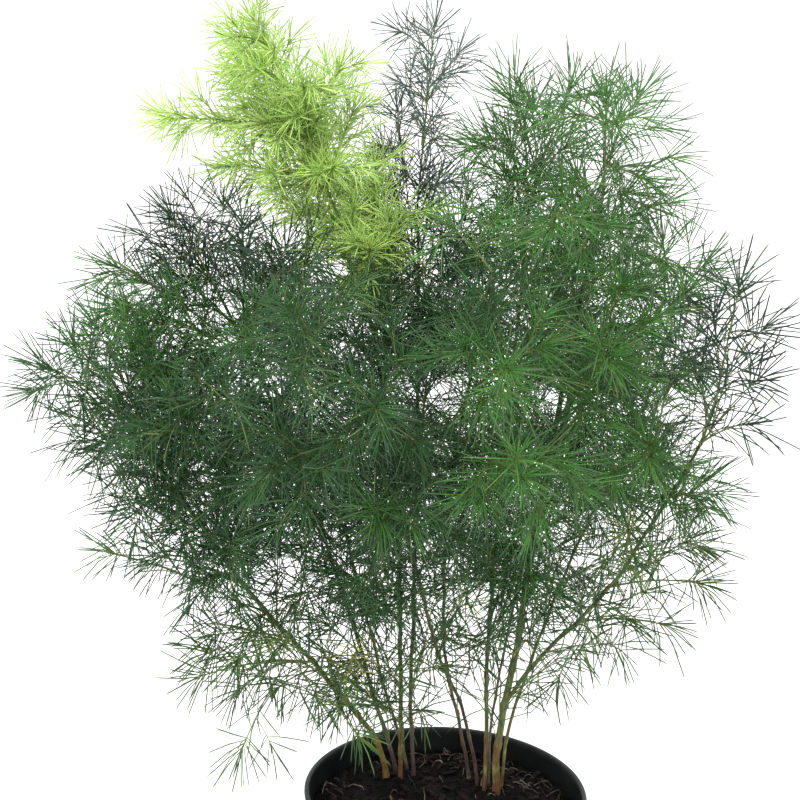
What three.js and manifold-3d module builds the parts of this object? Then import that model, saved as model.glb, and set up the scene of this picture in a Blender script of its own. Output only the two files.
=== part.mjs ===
// A potted ming fern: thin woody canes and needle-tufted fronds in a plain round nursery pot.
// Millimetres, +Z up, origin at the centre of the pot's underside, front towards -Y.
import * as THREE from "three";
import { mergeVertices } from "three/addons/utils/BufferGeometryUtils.js";
import Module from "manifold-3d";

const wasm = await Module();
wasm.setup();

// Pot.
const POT_HEIGHT = 140;
const LIP_RADIUS = 75;
const LIP_WIDTH = 2.6;
const LIP_DROP = 2.4;
const LIP_EDGE = 0.8;
const COLLAR_HEIGHT = 21;
const COLLAR_RADIUS = 71;
const COLLAR_STEP = 1.4;
const FOOT_RADIUS = 54;
const FOOT_EDGE = 1;
const FOOT_RECESS = 2;
const RECESS_RADII = [20, 45];
const WALL = 1.5;
const POT_SEGMENTS = 28;
const DRAIN_HOLES = 6;
const DRAIN_HOLE_RADIUS = 4.5;
const DRAIN_CIRCLE_RADIUS = 33;
const HOLE_SIDES = 8;

// Potting mix.
const MIX_LEVEL = 127;
const MIX_MOUND = 3;
const MIX_LUMP = 1.1;
const LUMP_WIDTHS = [5.1, 4.3, 7.7];
const MIX_RINGS = 4;
const MIX_SEGMENTS = 20;
const FIT_GAP = 0.35;

// Canes.
const CANE_DEPTH = 28;
const CANE_COLLAR = 5.5;
const CANE_SIDES = 5;
const CANE_STEP = 40;

// Twigs: the leader of a frond and its side twigs.
const TWIG_SIDES = 3;
const LEADER_RADIUS = 0.95;
const TWIG_RADIUS = 0.8;
const TIP_RADIUS = 0.72;
const TWIG_ARCH = 0.12;
const TWIG_LEAD = 0.8;
const TWIG_CLEARANCE = 0.45;
const CROWN_GAP = 1.2;
const BARK_GAP = 0.5;
const FIRST_TWIG = 9;
const LAST_TWIG = 7;
// The ways a twig may bow, [aside, up], tried from the least on.
const BOWS = [[0, 0], [4, 0], [-4, 0], [0, 5], [0, -5], [8, 0], [-8, 0], [6, 6], [-6, 6], [6, -6], [-6, -6],
  [13, 0], [-13, 0], [0, 12], [0, -12], [18, 8], [-18, 8]];

// Needles, which stand in whorls along every twig and in a tuft at its end.
const NEEDLE_LENGTH = 20;
const NEEDLE_SPREAD = 0.15;
const NEEDLE_TURN = 22;
const NEEDLE_WANDER = 5;
const NEEDLE_CLEARANCE = 0.32;
const NEEDLE_TRIES = 16;
const WHORL_HEIGHT = 1.7;
const WHORL_SPACING = 27;
const WHORL_LEAN = 25;
const TUFT_LEAN = [45, -5];
const BAND_SPLAY = 13;

// The eye of someone who looks at the plant. A place on the plant is measured on the upright plane
// through the pot's axis as [across, up, depth], and moves along the line of sight to its depth.
const EYE = new THREE.Vector3(-32.5, -1056, 706);

// The direction from which the corners of a stem's first ring are counted, along no stem.
const RING_START = new THREE.Vector3(0.31, 0.87, 0.38);

// Each cane: its foot [x, y] in the mix, its radii at foot and tip, and the places it passes.
const CANES = {
  left_long: {
    foot: [-32, 30], radii: [2.2, 1.1],
    places: [[-40, 171, 20], [-55, 190, 10], [-66, 204, 5], [-79, 218, 0], [-110, 255, -15],
      [-145, 305, -25], [-175, 345, -30]],
  },
  left_crest: {
    foot: [-27, 36], radii: [1.6, 1],
    places: [[-41, 196, 30], [-53, 236, 25], [-75, 300, 15], [-100, 360, 10], [-125, 410, 10]],
  },
  lime: {
    foot: [-24, 29], radii: [1.8, 1],
    places: [[-27, 220, 30], [-32, 300, 35], [-45, 380, 40], [-60, 430, 40]],
  },
  grey: {
    foot: [-17, 34], radii: [1.6, 1],
    places: [[-21, 192, 40], [-21, 220, 45], [-22, 300, 60], [-25, 400, 70], [-28, 450, 75]],
  },
  back_left: {
    foot: [-21, 41], radii: [1.2, 0.9],
    places: [[-35, 200, 56], [-60, 290, 76], [-85, 360, 88]],
  },
  middle_left: {
    foot: [13, 33], radii: [1.3, 0.9],
    places: [[0, 200, 10], [-10, 226, 0], [-25, 280, -28], [-50, 340, -62], [-70, 375, -80]],
  },
  middle: {
    foot: [17.5, 29], radii: [1.3, 0.9],
    places: [[7, 187, 26], [-4, 219, 20], [-6, 300, -16], [2, 370, -54], [10, 425, -60]],
  },
  right_inner: {
    foot: [21.5, 21.5], radii: [1.6, 1],
    places: [[20, 174, 25], [18, 224, 30], [20, 300, 40], [24, 400, 50], [26, 460, 50]],
  },
  right_main: {
    foot: [28, 18], radii: [3, 1.1],
    places: [[26, 160, 16], [28, 184, 15], [32, 213, 12], [36, 258, 8], [45, 340, 0], [55, 420, 0],
      [62, 470, 5]],
  },
  right_back: {
    foot: [24, 28], radii: [1, 0.8],
    places: [[23, 190, 45], [35, 280, 68], [50, 350, 86]],
  },
  right_outer: {
    foot: [31, 26], radii: [1.3, 0.9],
    places: [[34, 190, 35], [60, 280, 55], [85, 340, 65], [100, 400, 65]],
  },
};

// A branch starts inside the cane that is its parent.
const BRANCHES = {
  right_branch: {
    parent: "right_main", radii: [1.5, 1],
    places: [[29, 192, 14], [45, 218, 5], [63, 240, 0], [82, 264, -10], [95, 290, -15], [115, 330, -20],
      [125, 360, -20]],
  },
};

// Each frond: its colour, its cane, the place its leader reaches and the places its side twigs reach.
// A crown frond grows on from the cane's tip, and every other one leaves the cane's side.
const FRONDS = {
  lime_plume: {
    colour: "lime", cane: "lime", crown: true, leader: [-109, 543, 45],
    sides: [[-50, 438, 62], [-59, 443, 20], [-86, 452, 66], [-98, 462, 22], [-57, 466, 60], [-69, 474, 18],
      [-120, 472, 52], [-86, 490, 74], [-104, 494, 22], [-60, 503, 66], [-150, 494, 35], [-85, 514, 22],
      [-117, 511, 66], [-67, 523, 48]],
  },
  grey_plume: {
    colour: "grey", cane: "grey", crown: true, leader: [-23, 545, 85],
    sides: [[-27, 466, 58], [-12, 469, 96], [-42, 485, 92], [-20, 490, 62], [-22, 503, 106], [-38, 516, 96],
      [-26, 524, 62], [-11, 532, 94], [-40, 541, 74]],
  },
  fresh_crown_left: {
    colour: "fresh", cane: "right_inner", crown: true, leader: [43, 517, 55],
    sides: [[2, 488, 48], [42, 488, 32], [12, 492, 78], [14, 512, 42], [25, 507, 76]],
  },
  fresh_crown_right: {
    colour: "fresh", cane: "right_main", crown: true, leader: [60, 514, -4],
    sides: [[82, 474, -6], [68, 478, 28], [46, 504, -22], [66, 500, -26], [76, 515, 20]],
  },
  front_star: {
    colour: "fresh", cane: "right_main", leader: [41, 467, -45],
    sides: [[38, 448, -72], [62, 450, -52]],
  },
  middle_crown: {
    colour: "fresh", cane: "middle", crown: true, leader: [-13, 448, -58],
    sides: [[10, 452, -78], [22, 444, -36]],
  },
  outer_crown: {
    colour: "fresh", cane: "right_outer", crown: true, leader: [92, 446, 56],
    sides: [[108, 420, 42], [113, 432, 72], [84, 432, 80]],
  },
  outer_right_top: {
    colour: "dark", cane: "right_branch", crown: true, leader: [132, 423, -18],
    sides: [[121, 394, -44], [146, 402, -6], [120, 408, 10]],
  },
  outer_right_middle: {
    colour: "dark", cane: "right_branch", leader: [146, 376, -30],
    sides: [[131, 380, 4], [114, 378, -50]],
  },
  outer_right_low: {
    colour: "dark", cane: "right_branch", leader: [136, 350, -15],
    sides: [[120, 348, -46], [112, 352, 16]],
  },
  olive_right: {
    colour: "fresh", cane: "right_branch", leader: [124, 314, -20],
    sides: [[113, 324, 8], [102, 310, -46]],
  },
  pale_right_high: {
    colour: "pale", cane: "right_branch", leader: [126, 264, -25],
    sides: [[118, 288, -2], [104, 276, -46]],
  },
  pale_right_low: {
    colour: "pale", cane: "right_branch", leader: [110, 240, -10],
    sides: [[100, 260, 14], [90, 243, -32]],
  },
  pale_right_inner: {
    colour: "pale", cane: "right_branch", leader: [86, 292, -46],
    sides: [[74, 272, -56], [60, 288, -26]],
  },
  low_right: {
    colour: "pale", cane: "right_branch", leader: [72, 234, -30],
    sides: [[55, 204, -15], [64, 250, -34]],
  },
  bright_star_high: {
    colour: "fresh", cane: "middle", leader: [21, 375, -110],
    sides: [[38, 388, -86], [10, 356, -94], [0, 386, -94]],
  },
  bright_star_low: {
    colour: "fresh", cane: "middle", leader: [31, 318, -120],
    sides: [[43, 298, -100], [52, 326, -98], [12, 306, -96]],
  },
  front_right_high: {
    colour: "fresh", cane: "right_main", leader: [70, 384, -80],
    sides: [[88, 402, -58], [58, 352, -66], [74, 420, -52]],
  },
  front_right_low: {
    colour: "fresh", cane: "right_branch", leader: [92, 340, -64],
    sides: [[76, 322, -76], [100, 366, -48]],
  },
  left_crest_tip: {
    colour: "dark", cane: "left_crest", crown: true, leader: [-148, 446, 10],
    sides: [[-119, 434, -14], [-133, 448, 34], [-155, 422, -8]],
  },
  left_crest_inner: {
    colour: "dark", cane: "left_crest", leader: [-90, 436, 16],
    sides: [[-76, 424, -8], [-102, 418, 40]],
  },
  left_crest_outer: {
    colour: "fresh", cane: "left_crest", leader: [-176, 420, 16],
    sides: [[-160, 412, -14], [-168, 400, 36]],
  },
  wing_tip: {
    colour: "dark", cane: "left_long", crown: true, leader: [-208, 366, -35],
    sides: [[-188, 372, -60], [-196, 380, -8], [-192, 348, -48]],
  },
  wing_upper: {
    colour: "fresh", cane: "left_long", leader: [-185, 390, -18],
    sides: [[-174, 386, 14], [-160, 378, -44]],
  },
  wing_lower: {
    colour: "dark", cane: "left_long", leader: [-198, 328, -25],
    sides: [[-186, 314, 2], [-176, 334, -56]],
  },
  flank_high: {
    colour: "dark", cane: "left_long", leader: [-176, 301, -15],
    sides: [[-156, 312, 16], [-165, 290, -44]],
  },
  flank_low: {
    colour: "dark", cane: "left_long", leader: [-156, 267, -20],
    sides: [[-137, 264, 8], [-148, 288, -50]],
  },
  flank_front: {
    colour: "dark", cane: "left_long", leader: [-128, 256, -42],
    sides: [[-116, 277, -66], [-112, 246, -18]],
  },
  flank_hanging: {
    colour: "pale", cane: "left_long", leader: [-178, 268, 32],
    sides: [[-172, 290, 12]],
  },
  sparse_high: {
    colour: "pale", cane: "left_long", leader: [-126, 224, -10],
    sides: [[-112, 210, -32], [-98, 224, 14]],
  },
  sparse_low: {
    colour: "pale", cane: "left_long", leader: [-132, 200, -20],
    sides: [[-109, 158, -35], [-112, 192, 0]],
  },
  sparse_front: {
    colour: "pale", cane: "left_long", leader: [-90, 196, -32],
    sides: [[-88, 221, -48], [-68, 188, -14], [-46, 168, -22]],
  },
  breast_high: {
    colour: "dark", cane: "middle_left", crown: true, leader: [-88, 402, -98],
    sides: [[-108, 384, -74], [-62, 404, -72], [-82, 366, -124]],
  },
  breast_middle: {
    colour: "dark", cane: "middle_left", leader: [-44, 352, -118],
    sides: [[-64, 334, -100], [-30, 378, -94], [-22, 334, -92]],
  },
  breast_left: {
    colour: "dark", cane: "middle_left", leader: [-96, 318, -102],
    sides: [[-112, 338, -78], [-78, 298, -112], [-118, 306, -64]],
  },
  breast_low: {
    colour: "dark", cane: "middle_left", leader: [-22, 300, -92],
    sides: [[-40, 282, -66], [2, 284, -62]],
  },
  breast_outer: {
    colour: "dark", cane: "left_long", leader: [-138, 342, -72],
    sides: [[-150, 362, -48], [-122, 362, -88], [-162, 334, -72]],
  },
  heart_high: {
    colour: "dark", cane: "lime", leader: [-62, 390, -26],
    sides: [[-40, 404, -6], [-86, 404, -34]],
  },
  heart_middle: {
    colour: "dark", cane: "grey", leader: [-8, 402, 14],
    sides: [[-14, 424, 40], [8, 412, -12], [-38, 418, 10]],
  },
  heart_low: {
    colour: "dark", cane: "lime", leader: [-64, 262, -4],
    sides: [[-44, 244, -14], [-80, 276, -30]],
  },
  heart_right: {
    colour: "dark", cane: "right_main", leader: [14, 270, -50],
    sides: [[22, 250, -30], [-8, 258, -34]],
  },
  shade_right: {
    colour: "dark", cane: "right_main", leader: [72, 368, 8],
    sides: [[58, 338, -32], [88, 352, 24]],
  },
  back_right: {
    colour: "dark", cane: "right_back", crown: true, leader: [60, 402, 112],
    sides: [[36, 388, 92], [80, 372, 124], [46, 428, 92]],
  },
  back_right_low: {
    colour: "dark", cane: "right_back", leader: [92, 318, 102],
    sides: [[70, 298, 124], [104, 346, 84], [28, 304, 100], [52, 268, 94]],
  },
  back_left: {
    colour: "dark", cane: "back_left", crown: true, leader: [-100, 404, 110],
    sides: [[-74, 404, 128], [-124, 380, 92], [-88, 430, 82]],
  },
  back_left_low: {
    colour: "dark", cane: "back_left", leader: [-126, 328, 96],
    sides: [[-102, 308, 124], [-142, 352, 72]],
  },
  back_middle: {
    colour: "dark", cane: "grey", leader: [-18, 384, 122],
    sides: [[4, 402, 96], [-46, 400, 102], [-14, 350, 130], [-52, 302, 112], [-22, 284, 100]],
  },
};

const NEEDLE_COLOURS = { lime: 0x8db53c, fresh: 0x3f7a34, dark: 0x24492c, grey: 0x4a6152, pale: 0x66803a };
const BARK_COLOUR = 0x6b6a3c;
const POT_COLOUR = 0x1a1b1c;
const MIX_COLOUR = 0x231a13;

function place([across, up, depth]) {
  const onPlane = new THREE.Vector3(across, 0, up);
  return onPlane.sub(EYE).multiplyScalar((depth - EYE.y) / -EYE.y).add(EYE);
}

// A repeatable stream of numbers from 0 to 1.
function seeded(seed) {
  let state = seed;
  return () => {
    state = (state + 0x6d2b79f5) | 0;
    let mixed = Math.imul(state ^ (state >>> 15), 1 | state);
    mixed = (mixed + Math.imul(mixed ^ (mixed >>> 7), 61 | mixed)) ^ mixed;
    return ((mixed ^ (mixed >>> 14)) >>> 0) / 4294967296;
  };
}

// A closed geometry as a solid, and a solid as a geometry.
function solidOf(geometry) {
  const loose = geometry.index ? geometry.toNonIndexed() : geometry;
  const bare = new THREE.BufferGeometry().setAttribute("position", loose.getAttribute("position"));
  const merged = mergeVertices(bare, 1e-3);
  const vertProperties = new Float32Array(merged.getAttribute("position").array);
  const triVerts = new Uint32Array(merged.index.array);
  return new wasm.Manifold(new wasm.Mesh({ numProp: 3, vertProperties, triVerts }));
}

function geometryOf(solid) {
  const mesh = solid.getMesh();
  const geometry = new THREE.BufferGeometry();
  geometry.setAttribute("position", new THREE.BufferAttribute(new Float32Array(mesh.vertProperties), 3));
  geometry.setIndex(new THREE.BufferAttribute(new Uint32Array(mesh.triVerts), 1));
  geometry.computeVertexNormals();
  return geometry;
}

// A line is the row of centres that a stem's rings stand on, with the stem's radius at each.
function lineAlong(curve, stations, rootRadius, tipRadius) {
  const length = curve.getLength();
  return stations.map((station) => ({
    centre: curve.getPointAt(Math.min(1, station / length)),
    radius: THREE.MathUtils.lerp(rootRadius, tipRadius, station / length),
  }));
}

function pathOf(line) {
  const path = new THREE.CurvePath();
  line.slice(1).forEach(({ centre }, i) => path.add(new THREE.LineCurve3(line[i].centre, centre)));
  return path;
}

// A tube bent along a line. Its triangles run from the tip down in each side, and its sides around.
function bentTube(line, sides) {
  const bands = line.length - 1;
  const tube = new THREE.CylinderGeometry(1, 1, 1, sides, bands);
  const position = tube.getAttribute("position");
  let normal = RING_START.clone();
  const frames = line.map(({ centre, radius }, i) => {
    const before = line[Math.max(0, i - 1)].centre;
    const after = line[Math.min(bands, i + 1)].centre;
    const tangent = after.clone().sub(before).normalize();
    const binormal = new THREE.Vector3().crossVectors(normal, tangent).normalize();
    normal = new THREE.Vector3().crossVectors(tangent, binormal);
    return { centre, radius, normal, binormal };
  });
  for (let i = 0; i < position.count; i++) {
    const frame = frames[Math.round((0.5 + position.getY(i)) * bands)];
    const vertex = frame.centre.clone();
    vertex.addScaledVector(frame.normal, position.getX(i) * frame.radius);
    vertex.addScaledVector(frame.binormal, position.getZ(i) * frame.radius);
    position.setXYZ(i, vertex.x, vertex.y, vertex.z);
  }
  return tube;
}

// Rods are straight tapering lengths. Everything that has grown is kept as rods, so that what grows
// next can stay clear of it.
const stemRods = [];
const needleRods = [];

function makeRod(from, to, rootRadius, tipRadius, owners) {
  const middle = from.clone().lerp(to, 0.5);
  return { from, to, rootRadius, tipRadius, middle, reach: from.distanceTo(to) / 2 + rootRadius, ...owners };
}

function rodsAlong(line, node) {
  return line.slice(1).map((end, i) => {
    const start = line[i];
    return makeRod(start.centre, end.centre, start.radius, end.radius, { node, line });
  });
}

// The gap between two rods, at the nearest points of their axes.
function rodGap(a, b) {
  const { clamp, lerp } = THREE.MathUtils;
  const along = a.to.clone().sub(a.from);
  const beside = b.to.clone().sub(b.from);
  const between = a.from.clone().sub(b.from);
  const [aa, bb, ab] = [along.dot(along), beside.dot(beside), along.dot(beside)];
  const [ac, bc] = [along.dot(between), beside.dot(between)];
  const spread = aa * bb - ab * ab;
  let s = spread > 1e-9 ? clamp((ab * bc - ac * bb) / spread, 0, 1) : 0;
  let t = (ab * s + bc) / bb;
  if (t < 0 || t > 1) {
    t = clamp(t, 0, 1);
    s = clamp((ab * t - ac) / aa, 0, 1);
  }
  const distance = between.addScaledVector(along, s).addScaledVector(beside, -t).length();
  return distance - lerp(a.rootRadius, a.tipRadius, s) - lerp(b.rootRadius, b.tipRadius, t);
}

function rodIsClear(rod, others, isOwn, clearance) {
  return others.every((other) => {
    if (isOwn(other)) return true;
    const near = rod.reach + other.reach + clearance;
    if (rod.middle.distanceToSquared(other.middle) > near * near) return true;
    return rodGap(rod, other) > clearance;
  });
}

// Canes: a smooth curve through the places, straight and upright in the hole in the mix.
function caneLine({ foot, places, radii }) {
  const upright = foot ? [[...foot, MIX_LEVEL - CANE_DEPTH], [...foot, MIX_LEVEL + CANE_COLLAR]] : [];
  const points = [...upright.map((point) => new THREE.Vector3(...point)), ...places.map(place)];
  const curve = new THREE.CatmullRomCurve3(points, false, "catmullrom", 0.5);
  const straight = foot ? CANE_DEPTH + CANE_COLLAR : 0;
  const length = curve.getLength();
  const steps = Math.round((length - straight) / CANE_STEP);
  const bent = Array.from({ length: steps + 1 }, (_, i) => straight + ((length - straight) * i) / steps);
  return lineAlong(curve, foot ? [0, ...bent] : bent, ...radii);
}

const caneLines = {};
for (const [name, cane] of Object.entries({ ...CANES, ...BRANCHES })) {
  caneLines[name] = caneLine(cane);
  stemRods.push(...rodsAlong(caneLines[name], `cane_${name}`));
}

function caneSolid(name) {
  let solid = solidOf(bentTube(caneLines[name], CANE_SIDES));
  for (const [branch, { parent }] of Object.entries(BRANCHES)) {
    if (parent === name) solid = solid.add(solidOf(bentTube(caneLines[branch], CANE_SIDES)));
  }
  return solid;
}

// The share of a stem's length at which a shoot leaves it to reach a place: some way before the
// nearest point, so that the shoot slants forwards.
function leavingShare(path, target, first, last) {
  const length = path.getLength();
  const steps = 200;
  let nearest = 0;
  let shortest = Infinity;
  for (let i = 0; i <= steps; i++) {
    const distance = path.getPoint(i / steps).distanceTo(target);
    if (distance < shortest) [nearest, shortest] = [i / steps, distance];
  }
  const share = nearest - (TWIG_LEAD * shortest) / length;
  return THREE.MathUtils.clamp(share, first / length, 1 - last / length);
}

// The rings of a twig from its root: a short band for each whorl, and two bands for the end tuft.
function twigStations(length) {
  const tuft = length - 2 * WHORL_HEIGHT;
  const whorls = Math.max(0, Math.round(tuft / WHORL_SPACING) - 1);
  const stations = [0];
  for (let i = 1; i <= whorls; i++) {
    const middle = (tuft * i) / (whorls + 1);
    stations.push(middle - WHORL_HEIGHT / 2, middle + WHORL_HEIGHT / 2);
  }
  return [...stations, tuft, tuft + WHORL_HEIGHT, length];
}

// A twig is an upward arch. Where a plain arch would meet another stem, it bows a little aside.
function twigLine(from, to, radius, node, parent) {
  const up = new THREE.Vector3(0, 0, 1);
  const span = to.clone().sub(from);
  const aside = new THREE.Vector3().crossVectors(span, up).normalize();
  const crest = from.clone().lerp(to, 0.5).addScaledVector(up, TWIG_ARCH * span.length());
  for (const [sideways, upwards] of BOWS) {
    const control = crest.clone().addScaledVector(aside, sideways).addScaledVector(up, upwards);
    const curve = new THREE.QuadraticBezierCurve3(from, control, to);
    const line = lineAlong(curve, twigStations(curve.getLength()), radius, TIP_RADIUS);
    const isClear = rodsAlong(line, node).every((rod, i) => {
      const isOwn = (other) => other.node === node || (i === 0 && other.node === parent);
      return rodIsClear(rod, stemRods, isOwn, TWIG_CLEARANCE);
    });
    if (isClear) {
      stemRods.push(...rodsAlong(line, node));
      return line;
    }
  }
  throw new Error(`a twig of ${node} to ${to.toArray().map(Math.round)} finds no clear way`);
}

// Where a frond's leader starts: beyond the cane's tip, or off its bark far enough to clear it.
function leaderRoot({ cane, crown, leader }) {
  const line = caneLines[cane];
  const path = pathOf(line);
  const target = place(leader);
  if (crown) return path.getPoint(1).addScaledVector(path.getTangent(1), CROWN_GAP);
  const buried = cane in CANES ? CANE_DEPTH + CANE_COLLAR : 0;
  const share = leavingShare(path, target, buried + FIRST_TWIG, LAST_TWIG);
  const root = path.getPoint(share);
  const direction = target.sub(root);
  direction.z += 2 * TWIG_ARCH * direction.length();
  direction.normalize();
  const cosine = Math.abs(direction.dot(path.getTangent(share)));
  const sine = Math.sqrt(1 - cosine * cosine);
  const radius = THREE.MathUtils.lerp(line[0].radius, line[line.length - 1].radius, share);
  return root.addScaledVector(direction, (radius + BARK_GAP + LEADER_RADIUS * cosine) / sine);
}

// The leader and the side twigs of a frond. A side twig starts inside the leader, halfway between
// two of its whorls.
function frondLines(name, frond) {
  const node = `frond_${name}`;
  const leader = twigLine(leaderRoot(frond), place(frond.leader), LEADER_RADIUS, node, `cane_${frond.cane}`);
  const path = pathOf(leader);
  const length = path.getLength();
  const whorls = (leader.length - 4) / 2;
  const spacing = (length - 2 * WHORL_HEIGHT) / (whorls + 1);
  const sides = frond.sides.map((side) => {
    const share = leavingShare(path, place(side), FIRST_TWIG, LAST_TWIG);
    const gap = THREE.MathUtils.clamp(Math.floor((share * length) / spacing), 0, whorls);
    const root = path.getPoint(((gap + 0.5) * spacing) / length);
    return twigLine(root, place(side), TWIG_RADIUS, node, node);
  });
  return [leader, ...sides];
}

// A new needle is kept if it is clear of every stem and needle around it, apart from its own twig
// and its own tuft.
function keepsClear(needle) {
  const clearOfStems = rodIsClear(needle, stemRods, (other) => other.line === needle.line, NEEDLE_CLEARANCE);
  if (!clearOfStems) return false;
  if (!rodIsClear(needle, needleRods, (other) => other.tuft === needle.tuft, NEEDLE_CLEARANCE)) return false;
  needleRods.push(needle);
  return true;
}

// The tip of a needle that stands on one triangle of a twig's wall. Its direction wanders until it
// is clear, and it is shorter in the later tries. Where there is no room, there is no needle.
function wallNeedle(corners, centre, axis, lean, turn, owners, random) {
  const root = corners[0].clone().add(corners[1]).add(corners[2]).divideScalar(3);
  const outward = root.clone().sub(centre);
  outward.addScaledVector(axis, -outward.dot(axis)).normalize();
  const radius = Math.max(...corners.map((corner) => corner.distanceTo(root)));
  for (let i = 0; i < NEEDLE_TRIES; i++) {
    const wander = NEEDLE_WANDER * (i < 3 ? 1 : 2);
    const leaning = THREE.MathUtils.degToRad(lean + (random() - 0.5) * wander);
    const turning = THREE.MathUtils.degToRad(turn + (random() - 0.5) * 2 * wander);
    const shortening = i < NEEDLE_TRIES / 2 ? 1 : 0.75;
    const length = NEEDLE_LENGTH * shortening * (1 + (random() - 0.5) * 2 * NEEDLE_SPREAD);
    const direction = outward.clone().applyAxisAngle(axis, turning).multiplyScalar(Math.cos(leaning));
    direction.addScaledVector(axis, Math.sin(leaning));
    const tip = root.clone().addScaledVector(direction, length);
    if (keepsClear(makeRod(root, tip, radius, 0, owners))) return tip;
  }
  return null;
}

// The tip of the needle that grows straight on from the end of a twig.
function endNeedle(line, owners) {
  const [before, end] = line.slice(-2);
  const axis = end.centre.clone().sub(before.centre).normalize();
  for (const share of [1, 0.8, 0.6, 0.4]) {
    const tip = end.centre.clone().addScaledVector(axis, NEEDLE_LENGTH * share);
    if (keepsClear(makeRod(end.centre, tip, end.radius, 0, owners))) return tip;
  }
  return end.centre;
}

// A twig whose needles are raised from the triangles of its whorl bands and of its end face.
function twigSolid(line, random) {
  const bands = line.length - 1;
  const loose = bentTube(line, TWIG_SIDES).toNonIndexed().getAttribute("position");
  const owners = line.map((_, i) => ({ line, tuft: { line, i } }));
  const end = line[bands].centre;
  const endTip = endNeedle(line, owners[0]);
  const faces = [];
  for (let i = 0; i < loose.count; i += 3) {
    const corners = [0, 1, 2].map((k) => new THREE.Vector3().fromBufferAttribute(loose, i + k));
    const inWall = i < 6 * bands * TWIG_SIDES;
    const band = Math.floor(i / 6) % bands;
    if (!inWall) {
      faces.push(...corners.map((corner) => (corner.distanceTo(end) < 1e-3 ? endTip : corner)));
      continue;
    }
    if (band > 1 && band % 2 === 0) {
      faces.push(...corners);
      continue;
    }
    const [upper, lower] = [line[bands - band].centre, line[bands - band - 1].centre];
    const centre = upper.clone().lerp(lower, 0.5);
    const axis = upper.clone().sub(lower).normalize();
    const side = i % 6 === 0 ? 1 : -1;
    const lean = (TUFT_LEAN[band] ?? WHORL_LEAN) + side * BAND_SPLAY;
    const tuft = owners[band < 2 ? 0 : band];
    const tip = wallNeedle(corners, centre, axis, lean, -side * NEEDLE_TURN, tuft, random);
    if (tip) corners.forEach((corner, k) => faces.push(corner, corners[(k + 1) % 3], tip));
    else faces.push(...corners);
  }
  return solidOf(new THREE.BufferGeometry().setFromPoints(faces));
}

// The pot, turned from one closed outline, with drainage holes through its floor.
function potSolid() {
  const inside = LIP_RADIUS - LIP_WIDTH;
  const floor = FOOT_RECESS + WALL;
  const collar = POT_HEIGHT - COLLAR_HEIGHT;
  const [innerRecess, outerRecess] = RECESS_RADII;
  const outline = [
    [0, 0], [innerRecess - FOOT_RECESS, 0], [innerRecess, FOOT_RECESS], [outerRecess, FOOT_RECESS],
    [outerRecess + FOOT_RECESS, 0], [FOOT_RADIUS - FOOT_EDGE, 0], [FOOT_RADIUS, FOOT_EDGE],
    [COLLAR_RADIUS, collar], [COLLAR_RADIUS + COLLAR_STEP, collar + COLLAR_STEP],
    [LIP_RADIUS - FOOT_EDGE, POT_HEIGHT - LIP_DROP - FOOT_EDGE], [LIP_RADIUS, POT_HEIGHT - LIP_DROP],
    [LIP_RADIUS, POT_HEIGHT - LIP_EDGE], [LIP_RADIUS - LIP_EDGE, POT_HEIGHT],
    [inside + LIP_EDGE, POT_HEIGHT], [inside, POT_HEIGHT - LIP_EDGE], [FOOT_RADIUS - WALL, floor], [0, floor],
  ];
  const points = outline.map(([radius, height]) => new THREE.Vector2(radius, height));
  let pot = solidOf(new THREE.LatheGeometry(points, POT_SEGMENTS).rotateX(Math.PI / 2));
  for (let i = 0; i < DRAIN_HOLES; i++) {
    const angle = (2 * Math.PI * i) / DRAIN_HOLES;
    const drill = new THREE.CylinderGeometry(DRAIN_HOLE_RADIUS, DRAIN_HOLE_RADIUS, 3 * floor, HOLE_SIDES);
    drill.rotateX(Math.PI / 2);
    drill.translate(DRAIN_CIRCLE_RADIUS * Math.cos(angle), DRAIN_CIRCLE_RADIUS * Math.sin(angle), floor);
    pot = pot.subtract(solidOf(drill));
  }
  return pot;
}

// The height of the mix: a low mound with lumps, which is level at the pot's wall.
function mixHeight(x, y, outwards) {
  const [across, along, slanting] = LUMP_WIDTHS;
  const lumps = Math.sin(x / across + 1) * Math.cos(y / along) + 0.6 * Math.sin((x + y) / slanting);
  return MIX_LEVEL + (MIX_MOUND + MIX_LUMP * lumps) * (1 - outwards * outwards);
}

// The potting mix fills the pot, and each cane stands in a plain hole in it.
function mixSolid() {
  const floor = FOOT_RECESS + WALL;
  const foot = FOOT_RADIUS - WALL - 2 * FIT_GAP;
  const rim = LIP_RADIUS - LIP_WIDTH - 2 * FIT_GAP;
  const edge = THREE.MathUtils.mapLinear(MIX_LEVEL, floor, POT_HEIGHT, foot, rim);
  const rings = Array.from({ length: MIX_RINGS + 1 }, (_, i) => [edge * (1 - i / MIX_RINGS), MIX_LEVEL]);
  const outline = [[0, floor + FIT_GAP], [foot, floor + FIT_GAP], ...rings];
  const points = outline.map(([radius, height]) => new THREE.Vector2(radius, height));
  const turned = new THREE.LatheGeometry(points, MIX_SEGMENTS).rotateX(Math.PI / 2);
  const position = turned.getAttribute("position");
  for (let i = 0; i < position.count; i++) {
    const [x, y, z] = [position.getX(i), position.getY(i), position.getZ(i)];
    if (z > MIX_LEVEL - 1) position.setZ(i, mixHeight(x, y, Math.hypot(x, y) / edge));
  }
  let mix = solidOf(turned);
  for (const { foot: [x, y], radii } of Object.values(CANES)) {
    const depth = CANE_DEPTH + FIT_GAP;
    const radius = radii[0] / Math.cos(Math.PI / HOLE_SIDES) + FIT_GAP;
    const drill = new THREE.CylinderGeometry(radius, radius, 2 * depth, HOLE_SIDES).rotateX(Math.PI / 2);
    mix = mix.subtract(solidOf(drill.translate(x, y, MIX_LEVEL)));
  }
  return mix;
}

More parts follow.
